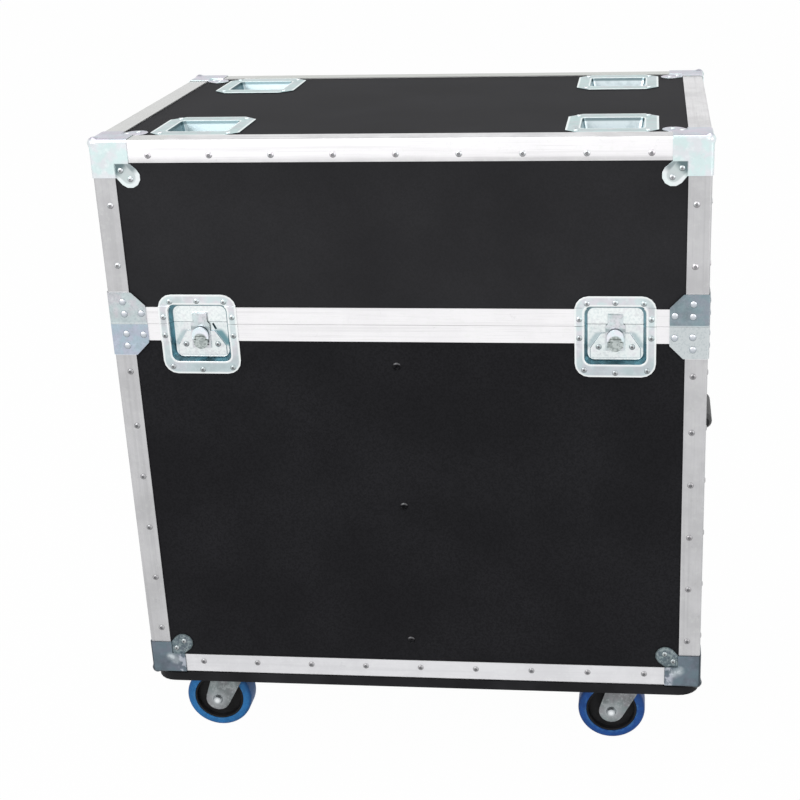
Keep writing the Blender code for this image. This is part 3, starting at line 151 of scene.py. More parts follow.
# The round pitted middle of a latch's cam and wing.
CAM_MIDDLE_DROP = 0.0235
CAM_DISC_RADIUS = 0.0098
CAM_TONES = ((0.520, 0.570, 0.560), (0.300, 0.340, 0.335))

# Stacking dishes: half width, half length and corner radius of the mouth, and the rivets.
DISH_MOUTH = (0.0410, 0.0370, 0.0060)
STACKING_RIVETS = ((0.046, 0.049), (-0.046, 0.049), (0.046, -0.049), (-0.046, -0.049))

HANDLE_RIVETS = (
    (0.0725, 0.0570),
    (-0.0725, 0.0570),
    (0.0725, -0.0570),
    (-0.0725, -0.0570),
    (0.0, 0.0570),
    (0.0, -0.0570),
)
GRIP_HALF_LENGTH = 0.0510
HINGE_RIVETS = ((-0.022, 0.016), (0.022, 0.016), (-0.022, 0.041), (0.022, 0.041))
HINGE_PLACES = {"left": -0.230, "right": 0.230}
DIVIDER_X = -0.013
DIVIDER_SCREW_HEIGHTS = (0.0626, 0.2750, 0.4820)

# Rivets: the share of the set width that each kind has, and the share of it that its sunk pin
# takes. A step of the dome is its share of the height and the share of the width at its end.
EDGE_RIVET = (1, 0.48)
BRACE_RIVET = (1.12, 0)
PLATE_RIVET = (0.93, 0.36)
RIVET_FOOT = 0.25
RIVET_STEPS = ((0.38, 0.84), (0.25, 0.64))
CROWN_RISE = 0.12
CROWN_WIDTH = 0.36
PIN_DEPTH = 0.45
PIN_TAPER = 0.8

# Screws: a step of the head is its rise and the share of the width that it keeps, and the cross
# has its length and width as shares of the radius.
SCREW_FOOT = 0.0004
SCREW_STEPS = ((0.0007, 0.86), (0.0005, 0.70), (0.0002, 0.60))
CROSS_LENGTH = 0.95
CROSS_WIDTH = 0.20
CROSS_HEIGHT = 0.0018
CROSS_DEPTH = 0.0016
CROSS_TURNS = (20, 110)

# Nuts: the washer, the hexagon and the bolt's end. Each has its number of sides, radius,
# thickness, middle height, and the inset and rise of its chamfer.
NUT_PARTS = (
    (24, 0.0085, 0.0012, 0.0006, 0.0015, 0),
    (6, 0.0074, 0.0060, 0.0042, 0.0013, 0.0005),
    (16, 0.0038, 0.0030, 0.0088, 0.0006, 0.0004),
)

# Castors. A hub's step is its inset, how far it goes in and the share of the width that it keeps.
PLATE_BOLTS = ((0.040, 0.0325), (-0.040, 0.0325), (0.040, -0.0325), (-0.040, -0.0325))
TYRE_RADIUS = 0.0500
TYRE_WIDTH = 0.0360
TYRE_DEPTH = 0.0122
TYRE_SHOULDER = 0.0050
HUB_RADIUS = 0.0377
HUB_WIDTH = 0.0350
HUB_STEPS = ((0.0028, 0.0070, 0.965), (0.0170, -0.0078, 0.84), (0.0045, 0.0010, 1))

# The camera that the photograph was taken with, and the picture's width in pixels.
CAMERA_PLACE = (0.3214, -2.1239, 1.3071)
CAMERA_PITCH = math.radians(21.245)
CAMERA_YAW = math.radians(6.160)
CAMERA_ROLL = math.radians(-1.614)
CAMERA_FOCAL = 1503.5
CAMERA_SHIFT = -0.12
IMAGE_WIDTH = 800
SENSOR_WIDTH = 36.0

# Place and width of each lamp, and the height of the point that they look at.
LAMPS = {
    "key": ((-1.6, -2.6, 2.3), 1.8),
    "fill": ((2.4, -2.0, 1.4), 1.8),
    "top": ((0.0, 0.2, 2.9), 2.0),
}
LAMP_AIM = 0.5

# How far the floor and the surroundings go towards white where they are seen.
FLOOR_WHITENESS = 0.985
SKY_WHITENESS = 1.0


# Settings


colour_setting = partial(bpy.props.FloatVectorProperty, subtype="COLOR", size=3, min=0, max=1)
length_setting = partial(bpy.props.FloatProperty, subtype="DISTANCE", unit="LENGTH")
power_setting = partial(bpy.props.FloatProperty, subtype="POWER", unit="POWER", min=0, max=500)


class FlightCaseFinishes(bpy.types.PropertyGroup):
    """Colours of the case's boards, metals and rubber"""

    laminate: colour_setting(
        name="Laminate",
        description="Colour of the black facing on the boards",
        default=(0.0162, 0.0162, 0.0182),
    )
    birch: colour_setting(
        name="Birch",
        description="Colour of the bare plywood inside the case",
        default=(0.56, 0.40, 0.24),
    )
    aluminium: colour_setting(
        name="Aluminium",
        description="Colour of the edge angles and the band at the seam",
        default=(0.680, 0.675, 0.685),
    )
    zinc: colour_setting(
        name="Zinc plate",
        description="Colour of the plated corners, latches, dishes and braces",
        default=(0.700, 0.750, 0.765),
    )
    # Painted shade: the dark plate colour of the lower corners.
    shaded_zinc: colour_setting(
        name="Shaded zinc plate",
        description="Painted shade: colour of the plate on the lower corners",
        default=(0.160, 0.198, 0.232),
    )
    # Painted shade: the dark colour given to the steep walls of the recesses.
    wall_shade: colour_setting(
        name="Shade on plated walls",
        description="Painted shade on the steep walls in the recessed latches and handles",
        default=(0.045, 0.135, 0.170),
    )
    steel: colour_setting(
        name="Castor steel",
        description="Colour of the castor plates and forks",
        default=(0.245, 0.262, 0.268),
    )
    tyre: colour_setting(
        name="Tyre",
        description="Colour of the elastic rubber tyres",
        default=(0.014, 0.080, 0.310),
    )
    # Painted light: the colour of the tyres on the lit left side.
    lit_side_tyre: colour_setting(
        name="Tyre on its lit side",
        description="Painted light: colour of the tyres on their lit side",
        default=(0.022, 0.160, 0.410),
    )
    black_rubber: colour_setting(
        name="Grip and hubs",
        description="Colour of the handle grips and the wheel hubs",
        default=(0.012, 0.012, 0.013),
    )


class FlightCaseSizes(bpy.types.PropertyGroup):
    """Sizes of the fasteners and of the softened edges"""

    rivet_width: length_setting(
        name="Rivet width",
        description="Width across a rivet's domed head",
        min=0.004,
        max=0.014,
        default=0.0086,
    )
    rivet_height: length_setting(
        name="Rivet height",
        description="How far a rivet's head stands proud of what it holds",
        min=0.0005,
        max=0.003,
        default=0.0017,
    )
    screw_width: length_setting(
        name="Screw width",
        description="Width across a divider screw's head",
        min=0.004,
        max=0.014,
        default=0.0112,
    )
    press_edge: length_setting(
        name="Pressed edge",
        description="Radius on the bends of the pressed steel parts",
        min=0.0001,
        max=0.002,
        default=0.0005,
    )


class FlightCaseStage(bpy.types.PropertyGroup):
    """Floor and studio light"""

    floor_width: length_setting(
        name="Floor width",
        description="Width of the pale floor",
        min=2,
        max=200,
        default=60,
    )
    sky: bpy.props.FloatProperty(
        name="Surrounding light",
        description="Strength of the light that comes from all round",
        min=0,
        max=2,
        default=0.50,
    )
    key_power: power_setting(
        name="Key lamp",
        description="Power of the large lamp over the front left",
        default=36,
    )
    fill_power: power_setting(
        name="Fill lamp",
        description="Power of the lamp at the front right",
        default=13,
    )
    top_power: power_setting(
        name="Top lamp",
        description="Power of the lamp straight above the case",
        default=18,
    )


def settings():
    return bpy.context.scene.flight_case_finishes


def sizes():
    return bpy.context.scene.flight_case_sizes


# Shader maths


def maths(operation, swapped=False):
    """A method that adds the Math node for an operation, with its inputs swapped if asked."""

    def method(self, *others):
        inputs = (*others, self) if swapped else (self, *others)
        return self.graph.node("ShaderNodeMath", {"operation": operation}, inputs)

    return method


class Value:
    """A socket in a node tree, with arithmetic that adds the Math nodes for it."""

    def __init__(self, graph, socket):
        self.graph = graph
        self.socket = socket

    __add__ = maths("ADD")
    __radd__ = maths("ADD", swapped=True)
    __sub__ = maths("SUBTRACT")
    __rsub__ = maths("SUBTRACT", swapped=True)
    __mul__ = maths("MULTIPLY")
    __rmul__ = maths("MULTIPLY", swapped=True)
    __truediv__ = maths("DIVIDE")
    __rtruediv__ = maths("DIVIDE", swapped=True)
    __pow__ = maths("POWER")
    __abs__ = maths("ABSOLUTE")
    __or__ = maths("MAXIMUM")
    __and__ = maths("MINIMUM")
    above = maths("GREATER_THAN")
    below = maths("LESS_THAN")

    def ramp(self, low, high):
        """0 on low's side, 1 on high's side and a smooth step between."""
        return self.graph.node(
            "ShaderNodeMapRange",
            {"interpolation_type": "SMOOTHSTEP"},
            {"Value": self, "From Min": low, "From Max": high},
        )


class Graph:
    """A node tree that is built from nothing."""

    def __init__(self, owner):
        owner.use_nodes = True
        self.tree = owner.node_tree
        self.tree.nodes.clear()

    def feed(self, socket, value):
        if isinstance(value, Value):
            self.tree.links.new(value.socket, socket)
        elif isinstance(value, tuple) and len(value) == 3 and len(socket.default_value) == 4:
            socket.default_value = (*value, 1)
        else:
            socket.default_value = value

    def node(self, kind, settings=None, inputs=(), output=0):
        """Adds a node, sets it up, fills its sockets and gives one output."""
        made = self.tree.nodes.new(kind)
        for name, value in (settings or {}).items():
            setattr(made, name, value)
        pairs = inputs.items() if isinstance(inputs, dict) else enumerate(inputs)
        for key, value in pairs:
            self.feed(made.inputs[key], value)
        return Value(self, made.outputs[output]) if made.outputs else None


class Finish(Graph):
    """One material: its Principled shader, and the nodes that vary it."""

    def __init__(self, name, **constants):
        self.material = bpy.data.materials.new(name)
        super().__init__(self.material)
        surface = self.node("ShaderNodeBsdfPrincipled")
        self.shader = surface.socket.node
        self.node("ShaderNodeOutputMaterial", None, {"Surface": surface})
        for socket, value in constants.items():
            self.set(socket.replace("_", " "), value)
        self.place = self.node("ShaderNodeTexCoord", output="Object")
        self.point = self.axes(self.place)

    def set(self, socket, value):
        self.feed(self.shader.inputs[socket], value)

    def base(self, colour):
        """Sets the base colour."""
        self.colour = colour
        self.set("Base Color", colour)

    def coat(self, share, colour):
        """Covers a share of the base colour with another colour."""
        self.base(self.mix(share, self.colour, colour))

    def axes(self, vector):
        """The three numbers in a vector."""
        node = self.node("ShaderNodeSeparateXYZ", None, (vector,)).socket.node
        return [Value(self, socket) for socket in node.outputs]

    def normals(self):
        """The three numbers of the way that the surface faces."""
        return self.axes(self.node("ShaderNodeTexCoord", output="Normal"))

    def vector(self, x, y, z):
        return self.node("ShaderNodeCombineXYZ", None, (x, y, z))

    def mix(self, share, first, second):
        """A colour that goes from the first to the second."""
        return self.node(
            "ShaderNodeMix", {"data_type": "RGBA"}, {0: share, 6: first, 7: second}, output=2
        )

    def noise(self, scale, detail=2.0, roughness=0.5, vector=None):
        """Soft noise over the object, or over another vector."""
        return self.node(
            "ShaderNodeTexNoise",
            None,
            {"Vector": vector or self.place, "Scale": scale, "Detail": detail, "Roughness": roughness},
        )

    def specks(self, scale, low, high):
        """A scatter of round specks, solid to the low distance and gone at the high one."""
        distance = self.node(
            "ShaderNodeTexVoronoi", None, {"Vector": self.place, "Scale": scale}, output="Distance"
        )
        return 1 - distance.ramp(low, high)

    def rounded_box(self, u, v, half_u, half_v, radius):
        """Distance outside a rounded rectangle round the origin, less than 0 inside."""
        du = abs(u) - (half_u - radius)
        dv = abs(v) - (half_v - radius)
        outside = ((du | 0.0) ** 2.0 + (dv | 0.0) ** 2.0) ** 0.5
        return outside + ((du | dv) & 0.0) - radius

    def from_line(self, u, v, start, end):
        """Distance from a straight line between two points."""
        run = end[0] - start[0]
        rise = end[1] - start[1]
        share = ((u - start[0]) * run + (v - start[1]) * rise) / (run * run + rise * rise)
        share = (share | 0.0) & 1.0
        across = u - start[0] - share * run
        up = v - start[1] - share * rise
        return (across ** 2.0 + up ** 2.0) ** 0.5

    def bump(self, height, distance, strength):
        """Roughens the surface by a height, times a distance in metres."""
        values = {"Strength": strength, "Distance": distance, "Height": height}
        self.set("Normal", self.node("ShaderNodeBump", None, values))


def tint(colour, *factors):
    """A colour times one plain factor, or times one for each of its channels."""
    return tuple(min(1.0, channel * factor) for channel, factor in zip(colour, factors * 3))


def finish(build):
    """Makes a finish when it is first asked for, and gives its material each time."""
    return cache(lambda: build().material)


# Finishes of board and aluminium


def plywood(made, figure_scale, fibre_scale):
    """The tone and the fibres of bare birch, with their scales across the case."""
    birch = settings().birch
    x, y, z = made.point
    figure = made.noise(3.0, 4.0, 0.6, made.vector(x * figure_scale, y * 9.0, z * 1.2))
    fibres = made.noise(1.0, 2.0, 0.5, made.vector(x * fibre_scale, y * 600.0, z * 18.0))
    tone = made.mix(figure.ramp(0.32, 0.70), birch[:], tint(birch, 0.78))
    return made.mix(fibres.ramp(0.5, 0.8) * 0.35, tone, tint(birch, 0.62)), fibres


@finish
def black_laminate():
    """Finely grained black facing outside, with painted light on the lid's front faces, and bare birch
    plywood inside.
    """
    laminate = settings().laminate
    made = Finish("black_laminate", Specular_IOR_Level=0.035)
    x, y, z = made.point
    inner_side = abs(x).below(HALF_WIDTH - FACING_DEPTH)
    inner_side = inner_side * abs(y - MIDDLE_Y).below(HALF_DEPTH - FACING_DEPTH)
    inside = inner_side * z.below(TOP_Z - FACING_DEPTH) * z.above(BOTTOM_Z + FACING_DEPTH)
    facing = 1 - inside
    grain = made.noise(900.0, 3.0, 0.6)
    cloud = made.noise(9.0, 3.0)
    dust = made.specks(130.0, 0.02, 0.075) * made.noise(22.0).ramp(0.54, 0.66)
    pores = made.noise(420.0, 2.0, 0.7)
    lid_front = z.above(SEAM_Z) * y.below(FRONT_Y + FACING_DEPTH)
    birch, fibres = plywood(made, 9.0, 600.0)
    made.base(laminate[:])
    made.coat(cloud.ramp(0.3, 0.75), tint(laminate, 1.35))
    made.coat(pores.ramp(0.40, 0.62) * 0.5, tint(laminate, 0.55))
    # Painted light: the lid's front faces are painted lighter than the base's.
    made.coat(lid_front * (0.25 + cloud * 0.30), (0.045, 0.045, 0.048))
    made.coat(dust * 0.35, (0.10, 0.10, 0.10))
    made.coat(inside, birch)
    made.set("Roughness", 0.70 - facing * (0.04 + grain * 0.10) + dust * 0.1)
    made.bump(facing * grain + inside * fibres * 0.6, 0.00012, 0.55)
    return made


@finish
def birch_board():
    """Bare birch plywood with its layers showing on the top edge."""
    birch = settings().birch
    made = Finish("birch_board")
    x, _, z = made.point
    tone, fibres = plywood(made, 1.0, 30.0)
    layers = made.node("ShaderNodeMath", {"operation": "SINE"}, (x * 4200.0,))
    made.base(tone)
    made.coat(
        z.above(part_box("base_divider")[1].z - 0.0004),
        made.mix(layers.ramp(-0.2, 0.2), tint(birch, 0.85), tint(birch, 0.45)),
    )
    made.set("Roughness", 0.55 + fibres * 0.15)
    made.bump(fibres, 0.0001, 0.5)
    return made


@finish
def castor_board_black():
    """Painted black board, with lighter and darker clouds."""
    laminate = settings().laminate
    made = Finish("castor_board_black", Specular_IOR_Level=0.1)
    x, y, z = made.point
    grain = made.noise(260.0, 3.0, 0.6, made.vector(x, y, z * 6.0))
    made.base(made.mix(made.noise(14.0, 3.0).ramp(0.35, 0.7), tint(laminate, 0.8), tint(laminate, 1.5)))
    made.set("Roughness", 0.48 + grain * 0.2)
    made.bump(grain, 0.0002, 0.5)
    return made


@finish
def brushed_aluminium():
    """Drawn aluminium: fine lines along each member and faint scuffs, with a painted sheen on the front of
    the top members and the band, and painted shade and light that differ from member to member.
    """
    aluminium = settings().aluminium
    made = Finish("brushed_aluminium", Metallic=1.0)
    x, y, z = made.point
    across = abs(y - MIDDLE_Y)
    near_side = abs(x).above(HALF_WIDTH - ANGLE_LEG - 0.0002)
    near_end = across.above(HALF_DEPTH - ANGLE_LEG - 0.0002)
    band = abs(z - SEAM_Z).below(BRACE_HALF_HEIGHT + 0.001)
    foot = z.below(BOTTOM_Z + ANGLE_LEG)
    level = z.above(TOP_Z - ANGLE_LEG) | foot | band
    along_x = level * (across.above(HALF_DEPTH - 0.0008) | near_end * (1 - near_side))
    drawn = made.vector(
        x * (900.0 - along_x * 888.0),
        y * (900.0 - (level - along_x) * 888.0),
        z * (900.0 - (1 - level) * 888.0),
    )
    lines = made.noise(1.0, 3.0, 0.65, drawn)
    wider = made.node("ShaderNodeVectorMath", {"operation": "SCALE"}, {0: drawn, 3: 0.16})
    coarse = made.noise(1.0, 2.0, 0.5, wider)
    marks = made.noise(60.0, 5.0, 0.75).ramp(0.60, 0.72)
    top_face = z.above(TOP_Z - 0.0009)
    # Painted sheen: the front of the top members and of the band is painted near white, with fewer lines.
    painted_sheen = z.ramp(TOP_Z - ANGLE_LEG - 0.004, TOP_Z - 0.018) * (1 - top_face)
    painted_sheen = (painted_sheen | band * 0.85) * y.below(FRONT_Y + 0.001)
    plain = 1 - painted_sheen * 0.5
    wear_and_sheen = made.mix(painted_sheen, tint(aluminium, 0.76), (0.84, 0.825, 0.85))
    made.base(made.mix(painted_sheen, aluminium[:], (0.95, 0.94, 0.955)))
    made.coat(made.noise(16.0, 4.0, 0.6).ramp(0.36, 0.66) * (0.75 - painted_sheen * 0.55), wear_and_sheen)
    made.coat(lines.ramp(0.50, 0.72) * plain * 0.36, tint(aluminium, 0.66))
    made.coat(coarse.ramp(0.53, 0.70) * plain * 0.34, tint(aluminium, 0.62))
    made.coat(marks * plain * 0.30, tint(aluminium, 0.55))
    made.coat(made.noise(150.0, 3.0, 0.6).ramp(0.52, 0.70) * 0.22, (0.80, 0.83, 0.79))
    # Painted shade on the rear and left top faces and on the uprights, and painted light on the bottom
    # members.
    made.coat(top_face * y.above(REAR_Y - ANGLE_LEG) * 0.85, (0.50, 0.518, 0.488))
    made.coat(top_face * x.below(-0.3) * 0.8, (0.555, 0.562, 0.55))
    made.coat((1 - level) * (1 - band) * 0.365, (0.40, 0.405, 0.42))
    made.coat(foot * 0.45, (0.86, 0.865, 0.90))
    made.set("Roughness", 0.36 + lines * 0.14 + marks * 0.12)
    made.bump(lines + coarse * 0.5, 0.00010, 0.35)
    return made


# Finishes of plated steel


def plate_tone(made, colour, dulling):
    """The colour of zinc plate: soft clouds, a pale bloom, faint tints and dark specks."""
    cloud = made.noise(34.0, 4.0, 0.62).ramp(0.38, 0.68)
    bloom = made.noise(130.0, 3.0, 0.6).ramp(0.52, 0.74)
    tints = made.noise(62.0).ramp(0.40, 0.62)
    spots = made.specks(240.0, 0.05, 0.16) * made.noise(55.0).ramp(0.50, 0.60)
    metal = made.mix(tints, tint(colour, 0.95, 1.02, 1.02), tint(colour, 1.05, 0.97, 1.01))
    metal = made.mix(cloud * dulling, metal, tint(colour, 0.66))
    metal = made.mix(bloom * 0.45, metal, tint(colour, 1.22))
    return made.mix(spots * 0.40, metal, tint(colour, 0.50))


def plate_surface(made, roughness):
    """The roughness and the faint orange peel of zinc plate."""
    cloud = made.noise(42.0, 4.0, 0.6)
    fine = made.noise(420.0)
    made.set("Roughness", roughness + cloud * 0.12 + fine * 0.06)
    made.bump(cloud * 0.8 + fine * 0.25, 0.00022, 0.35)


def plated(name, colour, dulling, roughness):
    """A finish of zinc plate, to which coats can be added."""
    made = Finish(name, Metallic=1.0)
    made.base(plate_tone(made, colour, dulling))
    plate_surface(made, roughness)
    return made


def streaked_wall_shade(made, wall):
    """The streaked painted shade of a steep wall in a recess."""
    return made.mix(made.noise(70.0, 3.0, 0.6).ramp(0.35, 0.70), wall, tint(wall, 2.1))


def steep_wall(depth, outward):
    """The steep walls of a recess, from its depth and how far a wall faces outwards."""
    return depth.ramp(0.0002, 0.0014) * (1 - abs(outward).ramp(0.55, 0.93))


@finish
def zinc_plate():
    return plated("zinc_plate_bright", settings().zinc[:], 0.55, 0.24)


@finish
def zinc_latch():
    """A latch dish: painted highlights along its edges, painted light and shade on its floor, painted shade
    beside its cover plate, in its slot, on its steps and walls, and a lower flange darker towards its
    bottom.
    """
    zinc = settings().zinc[:]
    made = plated("zinc_latch_dish", zinc, 0.45, 0.24)
    x, y, z = made.point
    facing = made.normals()
    outward = abs(x) - (HALF_WIDTH - LATCH_INSET)
    rise = z - SEAM_Z
    down = SEAM_Z - z
    depth = y - FRONT_Y
    flange = made.rounded_box(outward, rise - LATCH_OUTLINE[0], *LATCH_OUTLINE[1:])
    mouth = made.rounded_box(outward, rise - LATCH_MOUTH[0], *LATCH_MOUTH[1:])
    on_flange = 1 - depth.ramp(0.0002, 0.0008)
    rim_highlight = (flange.ramp(-0.0036, -0.0014) | (1 - mouth.ramp(0.0010, 0.0032))) * on_flange
    fold_shade = abs(facing[2]).ramp(0.15, 0.5) * on_flange * mouth.ramp(0.003, 0.005)
    floor = depth.ramp(0.0060, 0.0078) * abs(facing[1]).ramp(0.6, 0.9)
    # Painted shade on the floor beside the cover plate, stronger on the left.
    clear = abs(outward) - COVER_HALF_WIDTH - (down - COVER_TOP_DROP) * COVER_SPREAD
    strong = x.below(0.0) * outward.below(0.0)
    cover_shade = clear.ramp(0.0000, 0.0015) * (1 - (clear - strong * 0.0035).ramp(0.0040, 0.0110))
    cover_shade = cover_shade * down.ramp(0.0080, 0.0140) * (1 - down.ramp(0.0300, 0.0370))
    mottle = made.noise(260.0, 3.0, 0.6)
    shadow = 1 - mouth.ramp(-0.0075, -0.0045)
    pale = (1 - shadow) | rise.ramp(-0.0040, 0.0040)
    # Painted shade over the middle of the floor, and painted light over its edge and upper half.
    made.coat(floor * shadow * (0.05 + mottle.ramp(0.42, 0.66) * 0.45), (0.44, 0.52, 0.52))
    made.coat(floor * (0.25 + pale * 0.25 + mottle.ramp(0.35, 0.60) * 0.45), (0.93, 0.975, 0.97))
    made.coat(floor * cover_shade * (0.45 + strong * 0.45), (0.11, 0.27, 0.31))
    # Painted shade: the slot's walls below the floor are near black.
    made.coat(depth.ramp(LATCH_FLOOR_DEPTH + 0.0002, LATCH_FLOOR_DEPTH + 0.0004), (0.02, 0.035, 0.04))
    made.coat(on_flange * down.ramp(0.0300, 0.0620) * 0.40, (0.30, 0.40, 0.43))
    # Painted highlights along the edges of the flange and the mouth, and painted shade on the flange's
    # steps.
    made.coat(rim_highlight * 0.9, (0.95, 0.975, 0.97))
    made.coat(fold_shade * 0.8, tint(zinc, 0.62))
    # Painted shade on the steep walls.
    made.coat(steep_wall(depth, facing[1]) * 0.92, streaked_wall_shade(made, settings().wall_shade[:]))
    return made


@finish
def zinc_stacking():
    """A stacking dish: painted highlights on the flange's edges, walls painted pale as reflections with
    painted shade on the left dishes and the side walls, and a painted shadow under the mouth's edge.
    """
    made = plated("zinc_stacking_dish", tint(settings().zinc, 0.67, 0.77, 0.755), 0.40, 0.24)
    x, y, z = made.point
    facing = made.normals()
    depth = TOP_Z - z
    low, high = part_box("stacking_dish_front_right")
    centre = (low + high) / 2
    half = (high - low) / 2
    u = abs(x) - centre.x
    v = abs(y - MIDDLE_Y) - abs(centre.y - MIDDLE_Y)
    edge = (abs(u) - half.x) | (abs(v) - half.y)
    mouth = made.rounded_box(u, v, *DISH_MOUTH)
    rim_highlight = edge.ramp(-0.0040, -0.0016) | (1 - mouth.ramp(0.0012, 0.0030))
    steep = steep_wall(depth, facing[2])
    lip_shadow = depth.ramp(0.0002, 0.0008) * (1 - depth.ramp(0.0036, 0.0060)) * steep
    # Painted reflection: the steep walls are pale, with painted shade on the dishes on the left.
    pale = made.mix(x.below(0.0), (0.74, 0.82, 0.85), (0.44, 0.53, 0.56))
    grime_and_shade = made.noise(90.0, 3.0, 0.6).ramp(0.42, 0.66)
    made.coat(rim_highlight * (1 - depth.ramp(0.0002, 0.0008)) * 0.9, (0.90, 0.955, 0.95))
    made.coat(steep, made.mix(grime_and_shade * 0.35, pale, (0.42, 0.51, 0.54)))
    # Painted shade on the side walls.
    made.coat(steep * abs(facing[0]).ramp(0.45, 0.8) * 0.80, (0.20, 0.31, 0.34))
    # Painted shadow just under the mouth's edge.
    made.coat(lip_shadow * 0.85, (0.12, 0.19, 0.21))
    return made


@finish
def zinc_handle():
    """A handle dish, with painted shade in dark blue on its steep walls."""
    made = plated("zinc_handle_dish", settings().zinc[:], 0.6, 0.24)
    steep = steep_wall(HALF_WIDTH - abs(made.point[0]), made.normals()[0])
    made.coat(steep * 0.92, streaked_wall_shade(made, tint(settings().wall_shade, 1.6)))
    return made


def corner_lobe(made, facing, up, height):
    """Where a point lies on a corner: from its two edges, on a lobe, and from the lobe's middle."""
    from_end = HALF_DEPTH - abs(made.point[1] - MIDDLE_Y)
    sideways = abs(facing[0]).ramp(0.5, 0.9)
    across = (HALF_WIDTH - abs(made.point[0])) * (1 - sideways) + from_end * sideways
    down = height * (1 - up) + from_end * up
    lobe = across.ramp(*LOBE_START) * down.ramp(*LOBE_START)
    return across, down, lobe, made.from_line(across, down, *LOBE_LINE)


@finish
def zinc_lid_corner():
    """An upper corner: plate painted brighter as painted light, a top painted greyer as painted shade, and
    lobes with painted highlights and painted shade in their middles, creases and roots.
    """
    # Painted light: the upper corners' plate is brighter than the lower corners'.
    made = plated("zinc_lid_corner", tint(settings().zinc, 1.08, 1.13, 1.11), 0.15, 0.22)
    facing = made.normals()
    up = facing[2].ramp(0.5, 0.9)
    across, down, lobe, middle = corner_lobe(made, facing, up, TOP_Z - made.point[2])
    crease = (across - down).ramp(0.0095, 0.0135) * (1 - (across + down).ramp(0.0920, 0.1060))
    root = (1 - (across + down).ramp(0.0730, 0.0880)) * (1 - middle.ramp(0.0110, 0.0140))
    # Painted highlight over the lobes, with painted shade in their middles, creases and roots.
    made.coat(lobe * 0.6, (0.90, 0.95, 0.95))
    made.coat(lobe * (1 - middle.ramp(0.0075, 0.0100)) * 0.60, (0.42, 0.49, 0.49))
    made.coat(lobe * (crease * 0.8 | root) * 0.85, (0.07, 0.125, 0.14))
    # Painted shade: the faces that look up are greyer.
    made.coat(up * 0.9, plate_tone(made, (0.50, 0.50, 0.57), 0.4))
    return made


@finish
def zinc_base_corner():
    """A lower corner: dark blue plate as painted shade, a painted highlight where its lobes start, and
    painted dark reflections on its rounded edges.
    """
    # Painted shade: the lower corners get a dark blue plate.
    made = plated("zinc_base_corner", settings().shaded_zinc[:], 0.8, 0.26)
    facing = made.normals()
    across, rise, lobe, middle = corner_lobe(made, facing, 0.0, made.point[2] - BOTTOM_Z)
    wear_and_sheen = made.noise(85.0, 4.0, 0.65)
    pits = made.noise(300.0, 3.0, 0.65)
    # Painted highlight along a line where the lobes start.
    highlight_patch = 1 - made.from_line(across, rise, *SHEEN_LINE).ramp(0.0010, 0.0100)
    end_piece = across.ramp(0.0360, 0.0420) * (1 - lobe)
    flat = (abs(facing[0]) | abs(facing[1]) | abs(facing[2])).ramp(0.86, 0.985)
    made.coat(highlight_patch * (0.35 + wear_and_sheen.ramp(0.40, 0.62) * 0.50), (0.64, 0.70, 0.73))
    made.coat(end_piece * wear_and_sheen.ramp(0.46, 0.56) * 0.7, (0.56, 0.59, 0.66))
    made.coat(lobe * 0.35, (0.08, 0.11, 0.115))
    made.coat(lobe * pits.ramp(0.44, 0.62) * 0.50, (0.43, 0.51, 0.50))
    made.coat(lobe * middle.ramp(0.0122, 0.0138) * 0.75, (0.085, 0.11, 0.11))
    # Painted dark reflections on the rounded edges.
    made.coat((1 - flat) * 0.85, (0.045, 0.055, 0.065))
    return made


@finish
def zinc_brace():
    """Plate on the seam braces: each half and side in its own tone as painted reflection, a pale line along
    the seam, and painted shade on the upward faces.
    """
    zinc = settings().zinc[:]
    made = plated("zinc_seam_brace", tint(zinc, 0.84), 0.35, 0.26)
    x, _, z = made.point
    upper = z.above(SEAM_Z)
    right = x.above(0.0)
    edge = 1 - abs(z - SEAM_Z - 0.0006).ramp(0.0006, 0.0018)
    # Painted reflection: each half and side of the braces gets its own tone.
    made.coat(1 - upper, plate_tone(made, (0.47, 0.545, 0.625), 0.35))
    slate = plate_tone(made, (0.27, 0.335, 0.37), 0.7)
    made.coat(right, made.mix(upper, tint(zinc, 0.86), slate))
    made.coat(edge * 0.6, (0.78, 0.84, 0.85))
    made.coat(made.noise(380.0, 2.0, 0.7).ramp(0.48, 0.66) * 0.35, (0.34, 0.40, 0.43))
    # Painted shade on the upward faces.
    made.coat(made.normals()[2].ramp(0.15, 0.45) * 0.9, (0.20, 0.22, 0.235))
    return made


@finish
def zinc_hook():
    """The latch's hook, with a painted shadow across the bend above its cam."""
    made = plated("zinc_latch_hook", settings().zinc[:], 0.5, 0.26)
    # Painted shadow in a band across the bend above the cam.
    fold_shadow = 1 - abs(made.point[2] - SEAM_Z + HOOK_FOLD_DROP).ramp(0.0012, 0.0034)
    made.coat(made.noise(300.0, 3.0, 0.6).ramp(0.45, 0.68) * 0.45, (0.40, 0.46, 0.46))
    made.coat(fold_shadow * 0.60, (0.23, 0.29, 0.30))
    return made


@finish
def zinc_disc():
    """The latch's cam: grey, and pitted from use."""
    made = Finish("zinc_latch_disc", Metallic=1.0)
    mottle = made.noise(340.0, 2.0, 0.6)
    made.base(made.mix(mottle.ramp(0.40, 0.62), *CAM_TONES))
    made.set("Roughness", 0.30 + mottle * 0.12)
    made.bump(mottle, 0.00030, 0.5)
    return made


